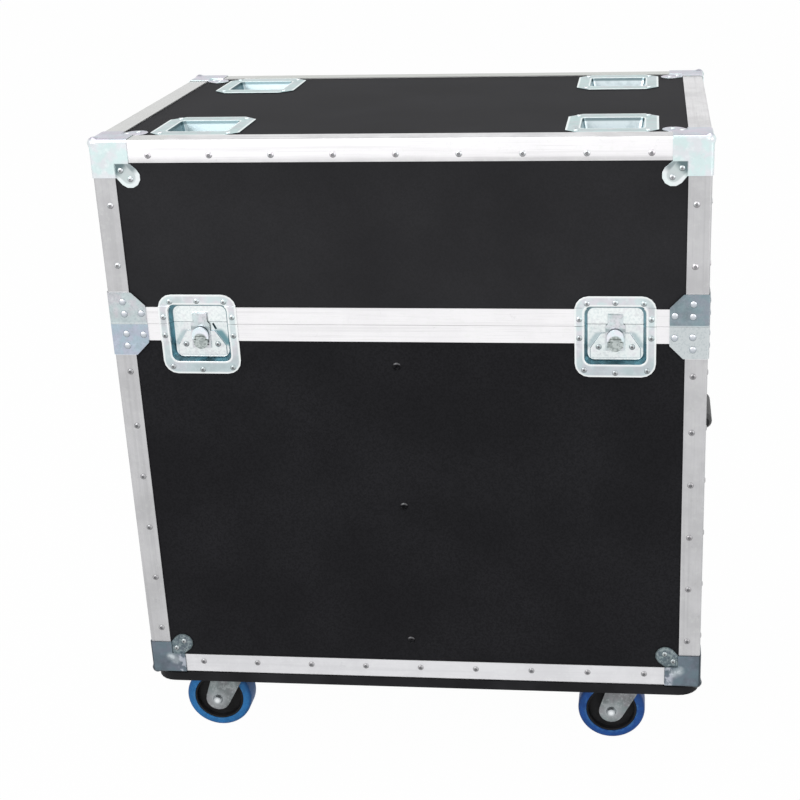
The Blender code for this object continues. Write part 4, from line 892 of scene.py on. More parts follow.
@finish
def zinc_wing():
    """The latch's wing: a crescent painted near white as a highlight, over a pitted round middle."""
    # Painted highlight: the wing's plate is near white.
    made = plated("zinc_latch_wing", (0.84, 0.91, 0.95), 0.15, 0.20)
    x, _, z = made.point
    outward = abs(x) - (HALF_WIDTH - LATCH_INSET)
    disc = made.rounded_box(outward, z - SEAM_Z + CAM_MIDDLE_DROP, *(CAM_DISC_RADIUS,) * 3)
    pitted = made.mix(made.noise(340.0, 2.0, 0.6).ramp(0.40, 0.62), *CAM_TONES)
    made.coat(1 - disc.ramp(-0.0016, 0.0010), pitted)
    return made


def axle_distance(made):
    """Distance from the axle of whichever castor a point belongs to, seen from the side."""
    right = middle_of("castor_wheel_front_right")
    middle = (right.x + middle_of("castor_wheel_front_left").x) / 2
    across = abs(made.point[0] - middle) - (right.x - middle)
    return (across ** 2.0 + (made.point[2] - right.z) ** 2.0) ** 0.5


@finish
def castor_steel():
    """Plated fork and plate, with painted shade towards the top and a painted highlight round the axle."""
    steel = settings().steel[:]
    made = plated("castor_steel", steel, 0.8, 0.34)
    x, y, z = made.point
    pressed = made.noise(1.0, 2.0, 0.5, made.vector(x * 90.0, y * 90.0, z * 14.0))
    from_axle = axle_distance(made)
    made.coat(pressed.ramp(0.46, 0.62) * 0.45, tint(steel, 0.48))
    made.coat(made.noise(190.0, 3.0, 0.65).ramp(0.50, 0.64) * 0.45, (0.44, 0.47, 0.475))
    # Painted shade towards the top of the forks.
    made.coat(z.ramp(0.060, 0.100) * 0.55, tint(steel, 0.42))
    # Painted highlight round the axle's end.
    made.coat(from_axle.ramp(0.0200, 0.0110) * 0.5, (0.34, 0.365, 0.375))
    made.coat(from_axle.ramp(0.0125, 0.0040) * 0.55, (0.60, 0.64, 0.66))
    made.coat(from_axle.ramp(0.0055, 0.0012) * 0.8, (0.93, 0.955, 0.975))
    return made


def domed(name, colour, base_shade):
    """Metal of a rivet's head, with a painted highlight on its upper side, painted shade on its under side
    and over the rivets of the base.
    """
    made = Finish(name, Metallic=1.0)
    lift = made.normals()[2]
    grime_and_shade = made.noise(260.0)
    made.base(plate_tone(made, colour, 0.3))
    # Painted highlight on the upper side, painted shade on the under side and over the base's rivets.
    made.coat(lift.ramp(-0.25, 0.30) * 0.45, tint(colour, 1.35))
    made.coat(lift.ramp(0.08, -0.42) * (0.45 + grime_and_shade * 0.5), tint(colour, 0.34))
    made.coat(made.point[2].below(SEAM_Z) * base_shade, tint(colour, 0.45))
    made.set("Roughness", 0.26 + grime_and_shade * 0.12)
    return made


@finish
def rivet_metal():
    return domed("rivet_metal", (0.64, 0.635, 0.65), 0.75)


@finish
def rivet_zinc():
    return domed("rivet_zinc", (0.56, 0.61, 0.62), 0.50)


@finish
def rivet_brace():
    """Broad domes on the braces, shaded all round a small highlight."""
    made = Finish("rivet_brace", Metallic=1.0)
    facing = made.normals()
    outward = abs(facing[0]) | abs(facing[1])
    gleam = (facing[2] * 0.46 + outward * 0.88).ramp(0.80, 0.985)
    made.base(made.mix(outward.ramp(0.55, 0.80), (0.24, 0.27, 0.29), (0.47, 0.51, 0.55)))
    made.coat(gleam * 0.85, (0.88, 0.89, 0.94))
    plate_surface(made, 0.26)
    return made


@finish
def rivet_core():
    """The sunk end of a rivet's pin, painted dark as shade, and painted lighter on the lid."""
    made = Finish("rivet_core", Metallic=1.0)
    cloud = made.noise(700.0)
    # Painted shade in the sunk end, made lighter on the lid as painted light.
    made.base(made.mix(cloud, (0.13, 0.13, 0.14), (0.26, 0.26, 0.27)))
    made.coat(made.point[2].above(SEAM_Z) * 0.6, (0.36, 0.36, 0.37))
    made.set("Roughness", 0.45 + cloud * 0.2)
    return made


@finish
def dark_screw():
    """Blackened screw, with a painted highlight on its upward faces."""
    made = Finish("dark_screw", Metallic=1.0)
    wear = made.noise(500.0, 3.0).ramp(0.45, 0.7)
    made.base(made.mix(wear, (0.006, 0.006, 0.007), (0.025, 0.025, 0.027)))
    # Painted highlight on the faces that look up.
    made.coat(made.normals()[2].ramp(0.15, 0.45) * 0.8, (0.13, 0.13, 0.135))
    made.set("Roughness", 0.38 + wear * 0.15)
    return made


# Finishes of rubber


@finish
def blue_tyre():
    """Elastic blue rubber, painted lighter on the left as painted light, darker towards the tread, with pale
    streaks on the inner side walls.
    """
    colours = settings()
    made = Finish("blue_tyre", Specular_IOR_Level=0.25)
    cloud = made.noise(60.0, 3.0, 0.6)
    fine = made.noise(900.0)
    streaks = made.noise(180.0, 2.0, 0.6).ramp(0.42, 0.60)
    reach = axle_distance(made)
    # Painted light: the tyres on the left are painted lighter.
    lit_side = made.point[0].ramp(0.1, -0.1)
    made.base(made.mix(lit_side, colours.tyre[:], colours.lit_side_tyre[:]))
    pale = made.mix(lit_side, tint(colours.tyre, 1.4), tint(colours.lit_side_tyre, 1.4))
    made.coat(cloud.ramp(0.3, 0.75), pale)
    made.coat(reach.ramp(0.0440, 0.0500) * 0.55, (0.008, 0.050, 0.210))
    made.coat(reach.ramp(0.0430, 0.0385) * streaks * 0.4, (0.09, 0.29, 0.56))
    made.coat(fine.ramp(0.55, 0.75) * 0.12, (0.20, 0.28, 0.42))
    made.set("Roughness", 0.42 + cloud * 0.16)
    made.bump(fine, 0.00012, 0.5)
    return made


def black_grain(name, specular, cloud_scale, roughness):
    """A finish of black rubber or nylon with a fine matt grain, and its clouds."""
    rubber = settings().black_rubber
    made = Finish(name, Specular_IOR_Level=specular)
    fine = made.noise(1100.0)
    cloud = made.noise(cloud_scale, 3.0)
    plain, finer, cloudier = roughness
    made.base(made.mix(cloud.ramp(0.3, 0.7), rubber[:], tint(rubber, 1.8)))
    made.set("Roughness", plain + fine * finer + cloud * cloudier)
    made.bump(fine, 0.00015, 0.55)
    return made, cloud


@finish
def grip_rubber():
    """The grips' moulded rubber, with painted light in grey along the top."""
    made, cloud = black_grain("grip_rubber", 0.35, 60.0, (0.44, 0.14, 0.08))
    # Painted light on the faces that look up.
    made.coat(made.normals()[2].ramp(-0.2, 0.8) * (0.35 + cloud * 0.4), (0.11, 0.11, 0.112))
    return made


@finish
def black_moulding():
    """The moulded black centres of the wheels."""
    return black_grain("black_moulding", 0.12, 40.0, (0.46, 0.16, 0.05))[0]


# Modelling


def choose(*objects):
    """Leaves edit mode with only these objects selected."""
    if bpy.context.object and bpy.context.object.mode == "EDIT":
        bpy.ops.object.mode_set(mode="OBJECT")
    bpy.ops.object.select_all(action="DESELECT")
    for one in objects:
        one.select_set(True)
    bpy.context.view_layer.objects.active = objects[-1]


def edit(target, kind="FACE"):
    """Opens a piece for editing with nothing selected."""
    choose(target)
    bpy.ops.object.mode_set(mode="EDIT")
    bpy.ops.mesh.select_mode(type=kind)
    bpy.ops.mesh.select_all(action="DESELECT")


def leave():
    bpy.ops.object.mode_set(mode="OBJECT")


def pick_faces(target, test):
    """Selects the faces whose centre and normal pass a test."""
    mesh = bmesh.from_edit_mesh(target.data)
    mesh.normal_update()
    for face in mesh.faces:
        face.select = bool(test(face.calc_center_median(), face.normal))
    mesh.select_flush_mode()
    bmesh.update_edit_mesh(target.data)


def pick_rings(target, centre, near, far):
    """Selects the edges round a wheel's sides that lie between two distances from its axle."""
    mesh = bmesh.from_edit_mesh(target.data)
    for edge in mesh.edges:
        ends = [vertex.co - centre for vertex in edge.verts]
        around = abs(ends[0].y - ends[1].y) < 0.001
        edge.select = around and all(near < end.xz.length < far for end in ends)
    mesh.select_flush_mode()
    bmesh.update_edit_mesh(target.data)


def grow(way, narrowing, centre=(0, 0, 0)):
    """Draws the selected faces out, and narrows their far end about a point."""
    bpy.ops.mesh.extrude_region_move(TRANSFORM_OT_translate={"value": way})
    bpy.ops.transform.resize(value=narrowing, center_override=centre)


def cylinder(vertices, radius, depth, place, turn=(0, 0, 0)):
    """A closed cylinder with its place in its mesh."""
    bpy.ops.mesh.primitive_cylinder_add(
        vertices=vertices, radius=radius, depth=depth, location=place, rotation=turn
    )
    bpy.ops.object.transform_apply(location=True, rotation=True)
    return bpy.context.object


def apply_modifier(target, kind, **values):
    """Adds one modifier, sets it and applies it."""
    choose(target)
    modifier = target.modifiers.new(kind.lower(), kind)
    for name, value in values.items():
        setattr(modifier, name, value)
    bpy.ops.object.modifier_apply(modifier=modifier.name)


def cut_box(target, place, size, turn):
    """Cuts a turned box out of a piece."""
    bpy.ops.mesh.primitive_cube_add(size=1, location=place, rotation=turn)
    cutter = bpy.context.object
    cutter.scale = size
    choose(cutter)
    bpy.ops.object.transform_apply(location=True, rotation=True, scale=True)
    apply_modifier(target, "BOOLEAN", object=cutter, operation="DIFFERENCE", solver="EXACT")
    bpy.data.objects.remove(cutter)


def soften(target, width, segments=2, angle=32, smooth=38):
    """Rounds the sharp edges of a piece and shades it smooth."""
    if width:
        apply_modifier(
            target,
            "BEVEL",
            width=width,
            segments=segments,
            limit_method="ANGLE",
            angle_limit=math.radians(angle),
            use_clamp_overlap=True,
            miter_outer="MITER_ARC",
        )
    choose(target)
    bpy.ops.object.shade_smooth_by_angle(angle=math.radians(smooth))
    apply_modifier(target, "WEIGHTED_NORMAL", keep_sharp=True, weight=50)


def placed(name, data):
    """A new object for a mesh, a lamp or a camera."""
    made = bpy.data.objects.new(name, data)
    bpy.context.scene.collection.objects.link(made)
    return made


def settle(target, name, body, material=None):
    """Names a finished piece, gives it its finish and seats it on its body."""
    choose(target)
    bpy.ops.object.transform_apply(location=True, rotation=True, scale=True)
    target.name = name
    target.data.name = name
    if material:
        target.data.materials.append(material)
    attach(target, body)
    return target


def welded_copy(node):
    """A welded copy of a frame node, with its flat faces joined up again."""
    mesh = frame["nodes"][node].data.copy()
    mesh.materials.clear()
    piece = placed(node + "_skin", mesh)
    edit(piece, "VERT")
    bpy.ops.mesh.select_all(action="SELECT")
    bpy.ops.mesh.customdata_custom_splitnormals_clear()
    bpy.ops.mesh.remove_doubles(threshold=0.00001)
    bpy.ops.mesh.faces_shade_flat()
    bpy.ops.mesh.dissolve_limited(angle_limit=math.radians(0.4))
    leave()
    return piece


def dress(node, name, material, slot="zinc_plate", cut=None, **shaping):
    """Puts a softened copy in place of a frame node, with a box cut out of it where one is given."""
    piece = welded_copy(node)
    if cut:
        cut_box(piece, *cut)
    soften(piece, **shaping)
    settle(piece, name, frame["nodes"][node]["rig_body"], material)
    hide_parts(node)
    return piece


def second_finish(piece, material, test):
    """Gives the faces that pass a test another finish."""
    piece.data.materials.append(material)
    edit(piece)
    pick_faces(piece, test)
    piece.active_material_index = 1
    bpy.ops.object.material_slot_assign()
    leave()


def paint(node, material):
    """Gives a frame node that stays in view its finish."""
    slots = frame["nodes"][node].data.materials
    slots.clear()
    slots.append(material)


def middle_of(node):
    """The middle of a frame node's box."""
    low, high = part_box(node)
    return (low + high) / 2


@cache
def surface(node):
    """A frame node's faces, ready to be met by straight lines."""
    mesh = frame["nodes"][node].data
    points = [vertex.co for vertex in mesh.vertices]
    return BVHTree.FromPolygons(points, [polygon.vertices for polygon in mesh.polygons])


def seated(node, spots):
    """Places and outward normals where lines from outside first meet a frame node."""
    places = []
    for point, way in spots:
        way = Vector(way)
        place = surface(node).ray_cast(Vector(point) - way * 0.2, way)[0]
        if place is None:
            raise RuntimeError(f"nothing of {node} to seat a fastener on at {tuple(point)}")
        places.append((place + way * 0.00005, -way))
    return places


def copies(pattern, places, name, body, material=None):
    """Copies a fastener to its places, and joins the copies into one piece."""
    made = []
    for place, normal in places:
        mesh = pattern.data.copy()
        turn = normal.to_track_quat("Z", "Y").to_matrix().to_4x4()
        mesh.transform(Matrix.Translation(place) @ turn)
        made.append(placed(name, mesh))
    choose(*made)
    if len(made) > 1:
        bpy.ops.object.join()
    return settle(bpy.context.object, name, body, material)


# Fasteners


def top_of(centre, normal):
    return normal.z > 0.9


def rivet_pattern(metal, share_of_width, core):
    """A domed rivet head standing on z = 0, whose sunk pin takes a share of its width."""
    radius = sizes().rivet_width * share_of_width / 2
    height = sizes().rivet_height
    foot = height * RIVET_FOOT
    rivet = cylinder(14, radius, foot, (0, 0, foot / 2))
    edit(rivet)
    pick_faces(rivet, top_of)
    reach = 1.0
    for rise, share in (*RIVET_STEPS, (CROWN_RISE, core or CROWN_WIDTH)):
        grow((0, 0, height * rise), (share / reach, share / reach, 1))
        reach = share
    if core:
        grow((0, 0, -height * PIN_DEPTH), (PIN_TAPER, PIN_TAPER, 1))
    leave()
    rivet.data.materials.append(metal)
    rivet.data.materials.append(rivet_core())
    for polygon in rivet.data.polygons:
        inward = polygon.center.xy.length < radius * core * 0.96 and polygon.center.z > foot
        polygon.material_index = 1 if inward else 0
    bpy.ops.object.shade_smooth_by_angle(angle=math.radians(60))
    return rivet


def screw_pattern():
    """A low domed screw head with a cross recess, standing on z = 0."""
    radius = sizes().screw_width / 2
    screw = cylinder(20, radius, SCREW_FOOT, (0, 0, SCREW_FOOT / 2))
    edit(screw)
    pick_faces(screw, top_of)
    for rise, share in SCREW_STEPS:
        grow((0, 0, rise), (share, share, 1))
    leave()
    cross = (radius * CROSS_LENGTH, radius * CROSS_WIDTH, CROSS_DEPTH)
    for turn in CROSS_TURNS:
        cut_box(screw, (0, 0, CROSS_HEIGHT), cross, (0, 0, math.radians(turn)))
    choose(screw)
    bpy.ops.object.shade_smooth_by_angle(angle=math.radians(35))
    return screw


def nut_pattern():
    """A hexagon nut on its washer with the end of its bolt, standing on z = 0."""
    parts = []
    for vertices, radius, depth, middle, inset, rise in NUT_PARTS:
        part = cylinder(vertices, radius, depth, (0, 0, middle))
        edit(part)
        pick_faces(part, top_of)
        bpy.ops.mesh.inset(thickness=inset, depth=rise)
        leave()
        parts.append(part)
    choose(*parts)
    bpy.ops.object.join()
    bpy.ops.object.shade_smooth_by_angle(angle=math.radians(35))
    return bpy.context.object


def at_end(end, across, height):
    """A point on the front or rear, and the way in."""
    sign = ENDS[end]
    return (across, MIDDLE_Y + sign * HALF_DEPTH, height), (0, -sign, 0)


def at_side(side, across, height):
    """A point on the left or right side, and the way in."""
    sign = SIDES[side]
    return (sign * HALF_WIDTH, MIDDLE_Y + across, height), (-sign, 0, 0)


def edge_spots(half):
    """Rivets along one half's edge angles."""
    end_row, level, heights = EDGE_ROWS[half]
    spots = []
    for place, names, row, reach in (
        (at_end, ENDS, end_row, HALF_WIDTH),
        (at_side, SIDES, SIDE_ROW, HALF_DEPTH),
    ):
        for name in names:
            spots += [place(name, along - reach, level) for along in row]
            for across in (UPRIGHT_INSET - reach, reach - UPRIGHT_INSET):
                spots += [place(name, across, BOTTOM_Z + height) for height in heights]
    return spots


def brace_spots(half):
    """Rivets in one half's seam braces."""
    spots = []
    for along, rise in BRACE_RIVETS:
        height = SEAM_Z + HALVES[half] * rise
        for sign in (-1, 1):
            spots += [at_end(end, sign * (HALF_WIDTH - along), height) for end in ENDS]
            spots += [at_side(side, sign * (HALF_DEPTH - along), height) for side in SIDES]
    return spots


def corner_spots(half, quarter):
    """Rivets in the lobes of one corner."""
    sign_x, sign_y = QUARTERS[quarter]
    end, side = quarter.split("_")
    level = TOP_Z if half == "lid" else BOTTOM_Z
    inward = -HALVES[half]
    spots = []
    for first, second in LOBE_RIVETS:
        height = level + inward * second
        spots.append(at_end(end, sign_x * (HALF_WIDTH - first), height))
        spots.append(at_side(side, sign_y * (HALF_DEPTH - first), height))
        if half == "lid":
            point = (sign_x * (HALF_WIDTH - first), MIDDLE_Y + sign_y * (HALF_DEPTH - second), level)
            spots.append((point, (0, 0, inward)))
    return spots


class FLIGHTCASE_OT_rivets(bpy.types.Operator):
    """Add the rivets in the edge angles, braces, corners, dishes and hinges"""

    bl_idname = "flightcase.rivets"
    bl_label = "Rivets"

    def execute(self, context):
        plain = rivet_pattern(rivet_metal(), *EDGE_RIVET)
        broad = rivet_pattern(rivet_brace(), *BRACE_RIVET)
        rivet = rivet_pattern(rivet_zinc(), *PLATE_RIVET)
        for half in HALVES:
            places = seated(half + "_edge_frame", edge_spots(half))
            copies(plain, places, half + "_edge_rivets", half)
            places = seated(half + "_location_frame", brace_spots(half))
            copies(broad, places, half + "_brace_rivets", half)
            places = []
            for quarter in QUARTERS:
                places += seated(f"{half}_corner_{quarter}", corner_spots(half, quarter))
            copies(rivet, places, half + "_corner_rivets", half)
        for side, sign in SIDES.items():
            middle = sign * (HALF_WIDTH - LATCH_INSET)
            dishes = {"base": LATCH_BASE_RIVETS + MECHANISM_RIVETS, "lid": LATCH_LID_RIVETS}
            for half, rows in dishes.items():
                spots = [at_end("front", middle + x, SEAM_Z + z) for x, z in rows]
                places = seated(f"latch_{half}_dish_{side}", spots)
                copies(rivet, places, f"latch_{half}_rivets_{side}", half)
            node = "handle_dish_" + side
            centre = middle_of(node)
            spots = [at_side(side, centre.y - MIDDLE_Y + y, centre.z + z) for y, z in HANDLE_RIVETS]
            copies(rivet, seated(node, spots), "handle_rivets_" + side, "base")
            for half, way in HALVES.items():
                spots = [at_end("rear", HINGE_PLACES[side] + x, SEAM_Z + way * z) for x, z in HINGE_RIVETS]
                places = seated(f"hinge_{half}_leaf_{side}", spots)
                copies(rivet, places, f"hinge_{half}_rivets_{side}", half)
        for quarter in QUARTERS:
            node = "stacking_dish_" + quarter
            centre = middle_of(node)
            spots = [((centre.x + x, centre.y + y, TOP_Z), (0, 0, -1)) for x, y in STACKING_RIVETS]
            copies(rivet, seated(node, spots), "stacking_rivets_" + quarter, "lid")
        for pattern in (plain, broad, rivet):
            bpy.data.objects.remove(pattern)
        return {"FINISHED"}


class FLIGHTCASE_OT_screws(bpy.types.Operator):
    """Add the dark screws that hold the divider"""

    bl_idname = "flightcase.screws"
    bl_label = "Divider screws"

    def execute(self, context):
        screw = screw_pattern()
        for end in ENDS:
            spots = [at_end(end, DIVIDER_X, BOTTOM_Z + height) for height in DIVIDER_SCREW_HEIGHTS]
            places = seated(f"base_{end}_panel", spots)
            copies(screw, places, "divider_screws_" + end, "base", material=dark_screw())
        bpy.data.objects.remove(screw)
        return {"FINISHED"}


# The pieces of the case


class FLIGHTCASE_OT_boards(bpy.types.Operator):
    """Finish the faced boards, the divider and the castor board"""

    bl_idname = "flightcase.boards"
    bl_label = "Boards"

    def execute(self, context):
        panels = [f"{half}_{panel}_panel" for half in HALVES for panel in (*ENDS, *SIDES)]
        for node in (*panels, "lid_top_panel", "base_floor_panel"):
            paint(node, black_laminate())
        paint("base_divider", birch_board())
        black = castor_board_black()
        shaping = {"width": 0.0008, "angle": 60, "smooth": 30}
        dress("castor_board", "castor_board_skin", black, "black_board", **shaping)
        return {"FINISHED"}


class FLIGHTCASE_OT_edges(bpy.types.Operator):
    """Finish the edge angles, the seam band and its braces"""

    bl_idname = "flightcase.edges"
    bl_label = "Edge angles and band"

    def execute(self, context):
        metal = brushed_aluminium()
        proud = 0.0001
        for half in HALVES:
            node = half + "_edge_frame"
            dress(node, half + "_edge_angles", metal, "aluminium", width=0, smooth=50)
            node = half + "_location_frame"
            band = dress(node, half + "_seam_band", metal, "aluminium", width=0, smooth=40)
            low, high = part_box(node)
            brace_end = high.z if half == "lid" else low.z
            second_finish(
                band,
                zinc_brace(),
                lambda centre, normal: abs(centre.x) > HALF_WIDTH + proud
                or abs(centre.y - MIDDLE_Y) > HALF_DEPTH + proud
                or abs(centre.z - brace_end) < proud,
            )
        return {"FINISHED"}


class FLIGHTCASE_OT_corners(bpy.types.Operator):
    """Finish the eight ball corners"""

    bl_idname = "flightcase.corners"
    bl_label = "Ball corners"

    def execute(self, context):
        for half in HALVES:
            metal = zinc_lid_corner() if half == "lid" else zinc_base_corner()
            for quarter in QUARTERS:
                name = f"{half}_ball_corner_{quarter}"
                dress(f"{half}_corner_{quarter}", name, metal, width=0.0004, angle=60, smooth=46)
        return {"FINISHED"}


class FLIGHTCASE_OT_stacking_dishes(bpy.types.Operator):
    """Finish the four dishes in the lid that hold a stacked case's wheels"""

    bl_idname = "flightcase.stacking_dishes"
    bl_label = "Stacking dishes"

    def execute(self, context):
        for quarter in QUARTERS:
            shaping = {"width": sizes().press_edge, "segments": 3}
            dress("stacking_dish_" + quarter, "wheel_dish_" + quarter, zinc_stacking(), **shaping)
        return {"FINISHED"}


class FLIGHTCASE_OT_latches(bpy.types.Operator):
    """Finish the two recessed butterfly latches"""

    bl_idname = "flightcase.latches"
    bl_label = "Butterfly latches"

    def execute(self, context):
        dish = zinc_latch()
        bends = {"width": sizes().press_edge, "segments": 3}
        for side in SIDES:
            cam = middle_of("latch_cam_" + side)
            place = (cam.x + SLOT_ASIDE, FRONT_Y + LATCH_FLOOR_DEPTH, SEAM_Z - SLOT_DROP)
            slot = (place, SLOT_SIZE, (0, SLOT_TILT, 0)) if side == "left" else None
            dress("latch_base_dish_" + side, "latch_lower_dish_" + side, dish, cut=slot, **bends)
            dress("latch_lid_dish_" + side, "latch_upper_dish_" + side, dish, **bends)
            dress("latch_hook_" + side, "latch_claw_" + side, zinc_hook(), width=0.0003)
            dress("latch_cam_" + side, "latch_disc_" + side, zinc_disc(), width=0.0003)
            name = "latch_butterfly_" + side
            dress("latch_wing_" + side, name, zinc_wing(), width=0.0007, segments=3)
        return {"FINISHED"}


class FLIGHTCASE_OT_handles(bpy.types.Operator):
    """Finish the two sprung handles in their dishes"""

    bl_idname = "flightcase.handles"
    bl_label = "Side handles"

    def execute(self, context):
        for side in SIDES:
            bends = {"width": sizes().press_edge, "segments": 3}
            dress("handle_dish_" + side, "handle_tray_" + side, zinc_handle(), **bends)
            node = "handle_bail_" + side
            name = "handle_grip_" + side
            bail = dress(node, name, grip_rubber(), "black_rubber", width=0.0006, smooth=40)
            middle = middle_of(node).y
            second_finish(
                bail, zinc_plate(), lambda centre, normal: abs(centre.y - middle) > GRIP_HALF_LENGTH
            )
        return {"FINISHED"}


class FLIGHTCASE_OT_hinges(bpy.types.Operator):
    """Finish the two rear hinges"""

    bl_idname = "flightcase.hinges"
    bl_label = "Rear hinges"

    def execute(self, context):
        for side in SIDES:
            for half in HALVES:
                name = f"hinge_{half}_plate_{side}"
                dress(f"hinge_{half}_leaf_{side}", name, zinc_plate(), width=0.0003)
            dress("hinge_pin_" + side, "hinge_pin_skin_" + side, zinc_plate(), width=0.0003)
        return {"FINISHED"}


def ring_of_rubber(centre):
    """The tyre: an elastic band with a crowned tread and rounded shoulders."""
    tyre = cylinder(96, TYRE_RADIUS, TYRE_WIDTH, centre, (math.radians(90), 0, 0))
    bore = (0, TYRE_RADIUS - TYRE_DEPTH + 0.0012)
    edit(tyre)
    pick_faces(tyre, lambda place, normal: abs(normal.y) > 0.9)
    bpy.ops.mesh.inset(thickness=TYRE_DEPTH)
    bpy.ops.mesh.delete(type="ONLY_FACE")
    pick_rings(tyre, centre, *bore)
    bpy.ops.mesh.bridge_edge_loops()
    pick_rings(tyre, centre, TYRE_RADIUS - 0.001, TYRE_RADIUS + 0.001)
    bpy.ops.mesh.bevel(offset=TYRE_SHOULDER, segments=6, profile=0.5, affect="EDGES")
    pick_rings(tyre, centre, *bore)
    bpy.ops.mesh.bevel(offset=0.0008, segments=2, profile=0.5, affect="EDGES")
    bpy.ops.mesh.select_all(action="SELECT")
    bpy.ops.mesh.normals_make_consistent(inside=False)
    leave()
    return tyre


def wheel_centre(centre):
    """The moulded centre: a rim, a thinner web and a boss for the bearing."""
    hub = cylinder(72, HUB_RADIUS, HUB_WIDTH, centre, (math.radians(90), 0, 0))
    for sign in (-1, 1):
        edit(hub)
        pick_faces(hub, lambda place, normal: normal.y * sign > 0.9)
        for inset, inward, share in HUB_STEPS:
            bpy.ops.mesh.inset(thickness=inset)
            grow((0, -sign * inward, 0), (share, 1, share), centre)
        leave()
    return hub


class FLIGHTCASE_OT_castors(bpy.types.Operator):
    """Build the castors: plates, forks, wheels, tyres and nuts"""

    bl_idname = "flightcase.castors"
    bl_label = "Castors"

    def execute(self, context):
        origin = middle_of("castor_wheel_" + next(iter(QUARTERS)))
        tyre = ring_of_rubber(origin)
        soften(tyre, width=0, smooth=35)
        hub = wheel_centre(origin)
        soften(hub, width=0.0005, angle=40, smooth=35)
        nut = nut_pattern()
        steel = castor_steel()
        for quarter in QUARTERS:
            plate = "castor_plate_" + quarter
            wheel = "castor_wheel_" + quarter
            fork = {"width": 0.0006, "segments": 3, "angle": 35, "smooth": 40}
            dress(plate, "castor_top_plate_" + quarter, steel, width=0.0004)
            dress("castor_fork_" + quarter, "castor_yoke_" + quarter, steel, **fork)
            for pattern, name, slot, material in (
                (tyre, "castor_tyre_" + quarter, "blue_rubber", blue_tyre()),
                (hub, "castor_hub_" + quarter, "black_rubber", black_moulding()),
            ):
                mesh = pattern.data.copy()
                mesh.transform(Matrix.Translation(middle_of(wheel) - origin))
                piece = settle(placed(name, mesh), name, wheel, material)
                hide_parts(wheel)
            centre = middle_of(plate)
            spots = [((centre.x + x, centre.y + y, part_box(plate)[0].z), (0, 0, 1)) for x, y in PLATE_BOLTS]
            places = seated(plate, spots)
            copies(nut, places, "castor_nuts_" + quarter, "base", material=zinc_plate())
        for pattern in (tyre, hub, nut):
            bpy.data.objects.remove(pattern)
        return {"FINISHED"}


# Stage


def white_to_the_eye(owner, output, share, plain, white):
    """Takes a plain shader a share of the way to white for camera, mirror and glass rays."""
    graph = Graph(owner)
    camera, mirror, glass = [
        graph.node("ShaderNodeLightPath", output=f"Is {ray} Ray")
        for ray in ("Camera", "Glossy", "Transmission")
    ]
    shaders = (graph.node(*plain), graph.node(*white))
    seen = graph.node("ShaderNodeMixShader", None, ((camera | mirror | glass) * share, *shaders))
    graph.node(output, None, {"Surface": seen})


def softbox(name, place, width, power):
    """A large square lamp that looks at the middle of the case."""
    lamp = bpy.data.lights.new(name, "AREA")
    lamp.shape = "SQUARE"
    lamp.size = width
    lamp.energy = power
    made = placed(name, lamp)
    made.location = place
    way = Vector((0, MIDDLE_Y, LAMP_AIM)) - Vector(place)
    made.rotation_euler = way.to_track_quat("-Z", "Y").to_euler()


def photo_camera():
    """The camera at the photograph's place, turn and lens."""
    data = bpy.data.cameras.new("photo_camera")
    data.sensor_width = SENSOR_WIDTH
    data.sensor_fit = "HORIZONTAL"
    data.lens = SENSOR_WIDTH * CAMERA_FOCAL / IMAGE_WIDTH
    data.shift_x = CAMERA_SHIFT
    data.clip_start = 0.01
    made = placed("photo_camera", data)
    level = Matrix(((1, 0, 0), (0, 0, -1), (0, 1, 0)))
    yaw = Matrix.Rotation(CAMERA_YAW, 3, "Y")
    pitch = Matrix.Rotation(CAMERA_PITCH, 3, "X")
    roll = Matrix.Rotation(CAMERA_ROLL, 3, "Z")
    seen = roll @ pitch @ yaw @ level
    turn = Matrix((seen[0], -seen[1], -seen[2])).transposed()
    made.matrix_world = Matrix.Translation(CAMERA_PLACE) @ turn.to_4x4()
    bpy.context.scene.camera = made


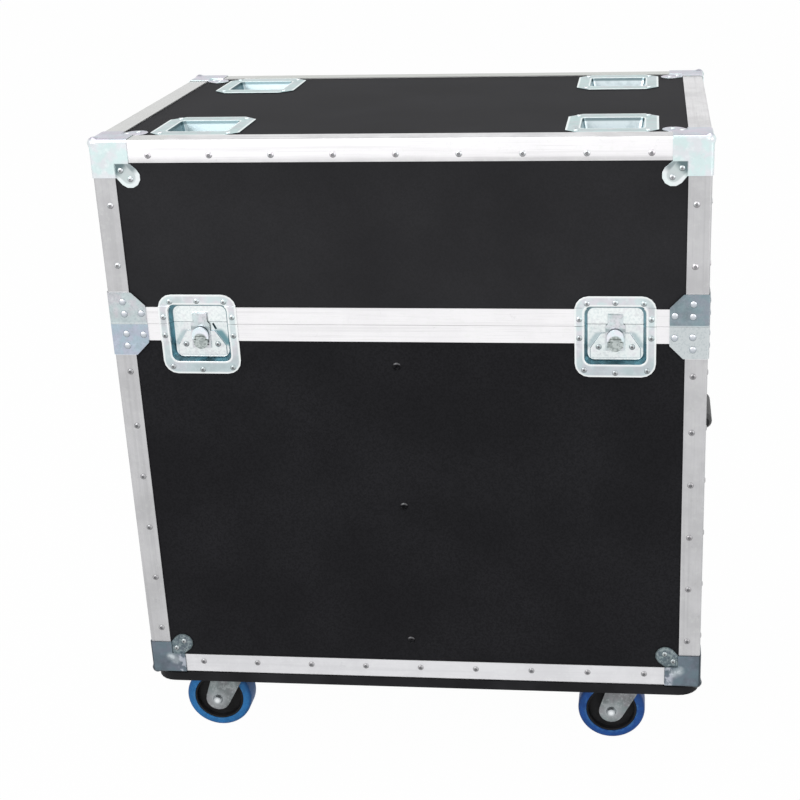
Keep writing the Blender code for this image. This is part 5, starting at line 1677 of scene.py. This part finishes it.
class FLIGHTCASE_OT_stage(bpy.types.Operator):
    """Add the pale floor, the studio light and the camera"""

    bl_idname = "flightcase.stage"
    bl_label = "Stage"

    def execute(self, context):
        stage = context.scene.flight_case_stage
        photo_camera()
        bpy.ops.mesh.primitive_plane_add(size=stage.floor_width, location=(0, 0, 0))
        floor = context.object
        floor.name = "floor"
        pale = bpy.data.materials.new("pale_floor")
        surface = {"Base Color": (0.80, 0.80, 0.80), "Roughness": 0.9}
        plain = ("ShaderNodeBsdfPrincipled", None, surface)
        white_to_the_eye(pale, "ShaderNodeOutputMaterial", FLOOR_WHITENESS, plain, ("ShaderNodeEmission",))
        floor.data.materials.append(pale)
        world = bpy.data.worlds.new("studio")
        context.scene.world = world
        plain, white = [
            ("ShaderNodeBackground", None, {"Color": (1, 1, 1), "Strength": strength})
            for strength in (stage.sky, 1.0)
        ]
        white_to_the_eye(world, "ShaderNodeOutputWorld", SKY_WHITENESS, plain, white)
        for name, (place, width) in LAMPS.items():
            softbox(name + "_lamp", place, width, getattr(stage, name + "_power"))
        context.scene.view_settings.view_transform = "Standard"
        return {"FINISHED"}


# Panel and registration


PIECES = (
    FLIGHTCASE_OT_boards,
    FLIGHTCASE_OT_edges,
    FLIGHTCASE_OT_corners,
    FLIGHTCASE_OT_stacking_dishes,
    FLIGHTCASE_OT_latches,
    FLIGHTCASE_OT_handles,
    FLIGHTCASE_OT_hinges,
    FLIGHTCASE_OT_castors,
    FLIGHTCASE_OT_rivets,
    FLIGHTCASE_OT_screws,
    FLIGHTCASE_OT_stage,
)
GROUPS = {
    "flight_case_finishes": FlightCaseFinishes,
    "flight_case_sizes": FlightCaseSizes,
    "flight_case_stage": FlightCaseStage,
}


class FLIGHTCASE_PT_panel(bpy.types.Panel):
    """Lists the sizes, the finishes and the pieces of the flight case"""

    bl_idname = "FLIGHTCASE_PT_panel"
    bl_label = "Flight case"
    bl_space_type = "VIEW_3D"
    bl_region_type = "UI"
    bl_category = "Flight case"

    def draw(self, context):
        for title in GROUPS:
            group = getattr(context.scene, title)
            box = self.layout.box()
            for name in group.__annotations__:
                box.prop(group, name)
        for operator in PIECES:
            self.layout.operator(operator.bl_idname)


CLASSES = (*GROUPS.values(), *PIECES, FLIGHTCASE_PT_panel)


def register():
    for one in CLASSES:
        bpy.utils.register_class(one)
    for title, group in GROUPS.items():
        setattr(bpy.types.Scene, title, bpy.props.PointerProperty(type=group))


def unregister():
    for title in GROUPS:
        delattr(bpy.types.Scene, title)
    for one in reversed(CLASSES):
        bpy.utils.unregister_class(one)


def main():
    register()
    bpy.ops.object.select_all(action="DESELECT")
    for operator in PIECES:
        group, name = operator.bl_idname.split(".")
        getattr(getattr(bpy.ops, group), name)()


if __name__ == "__main__":
    main()
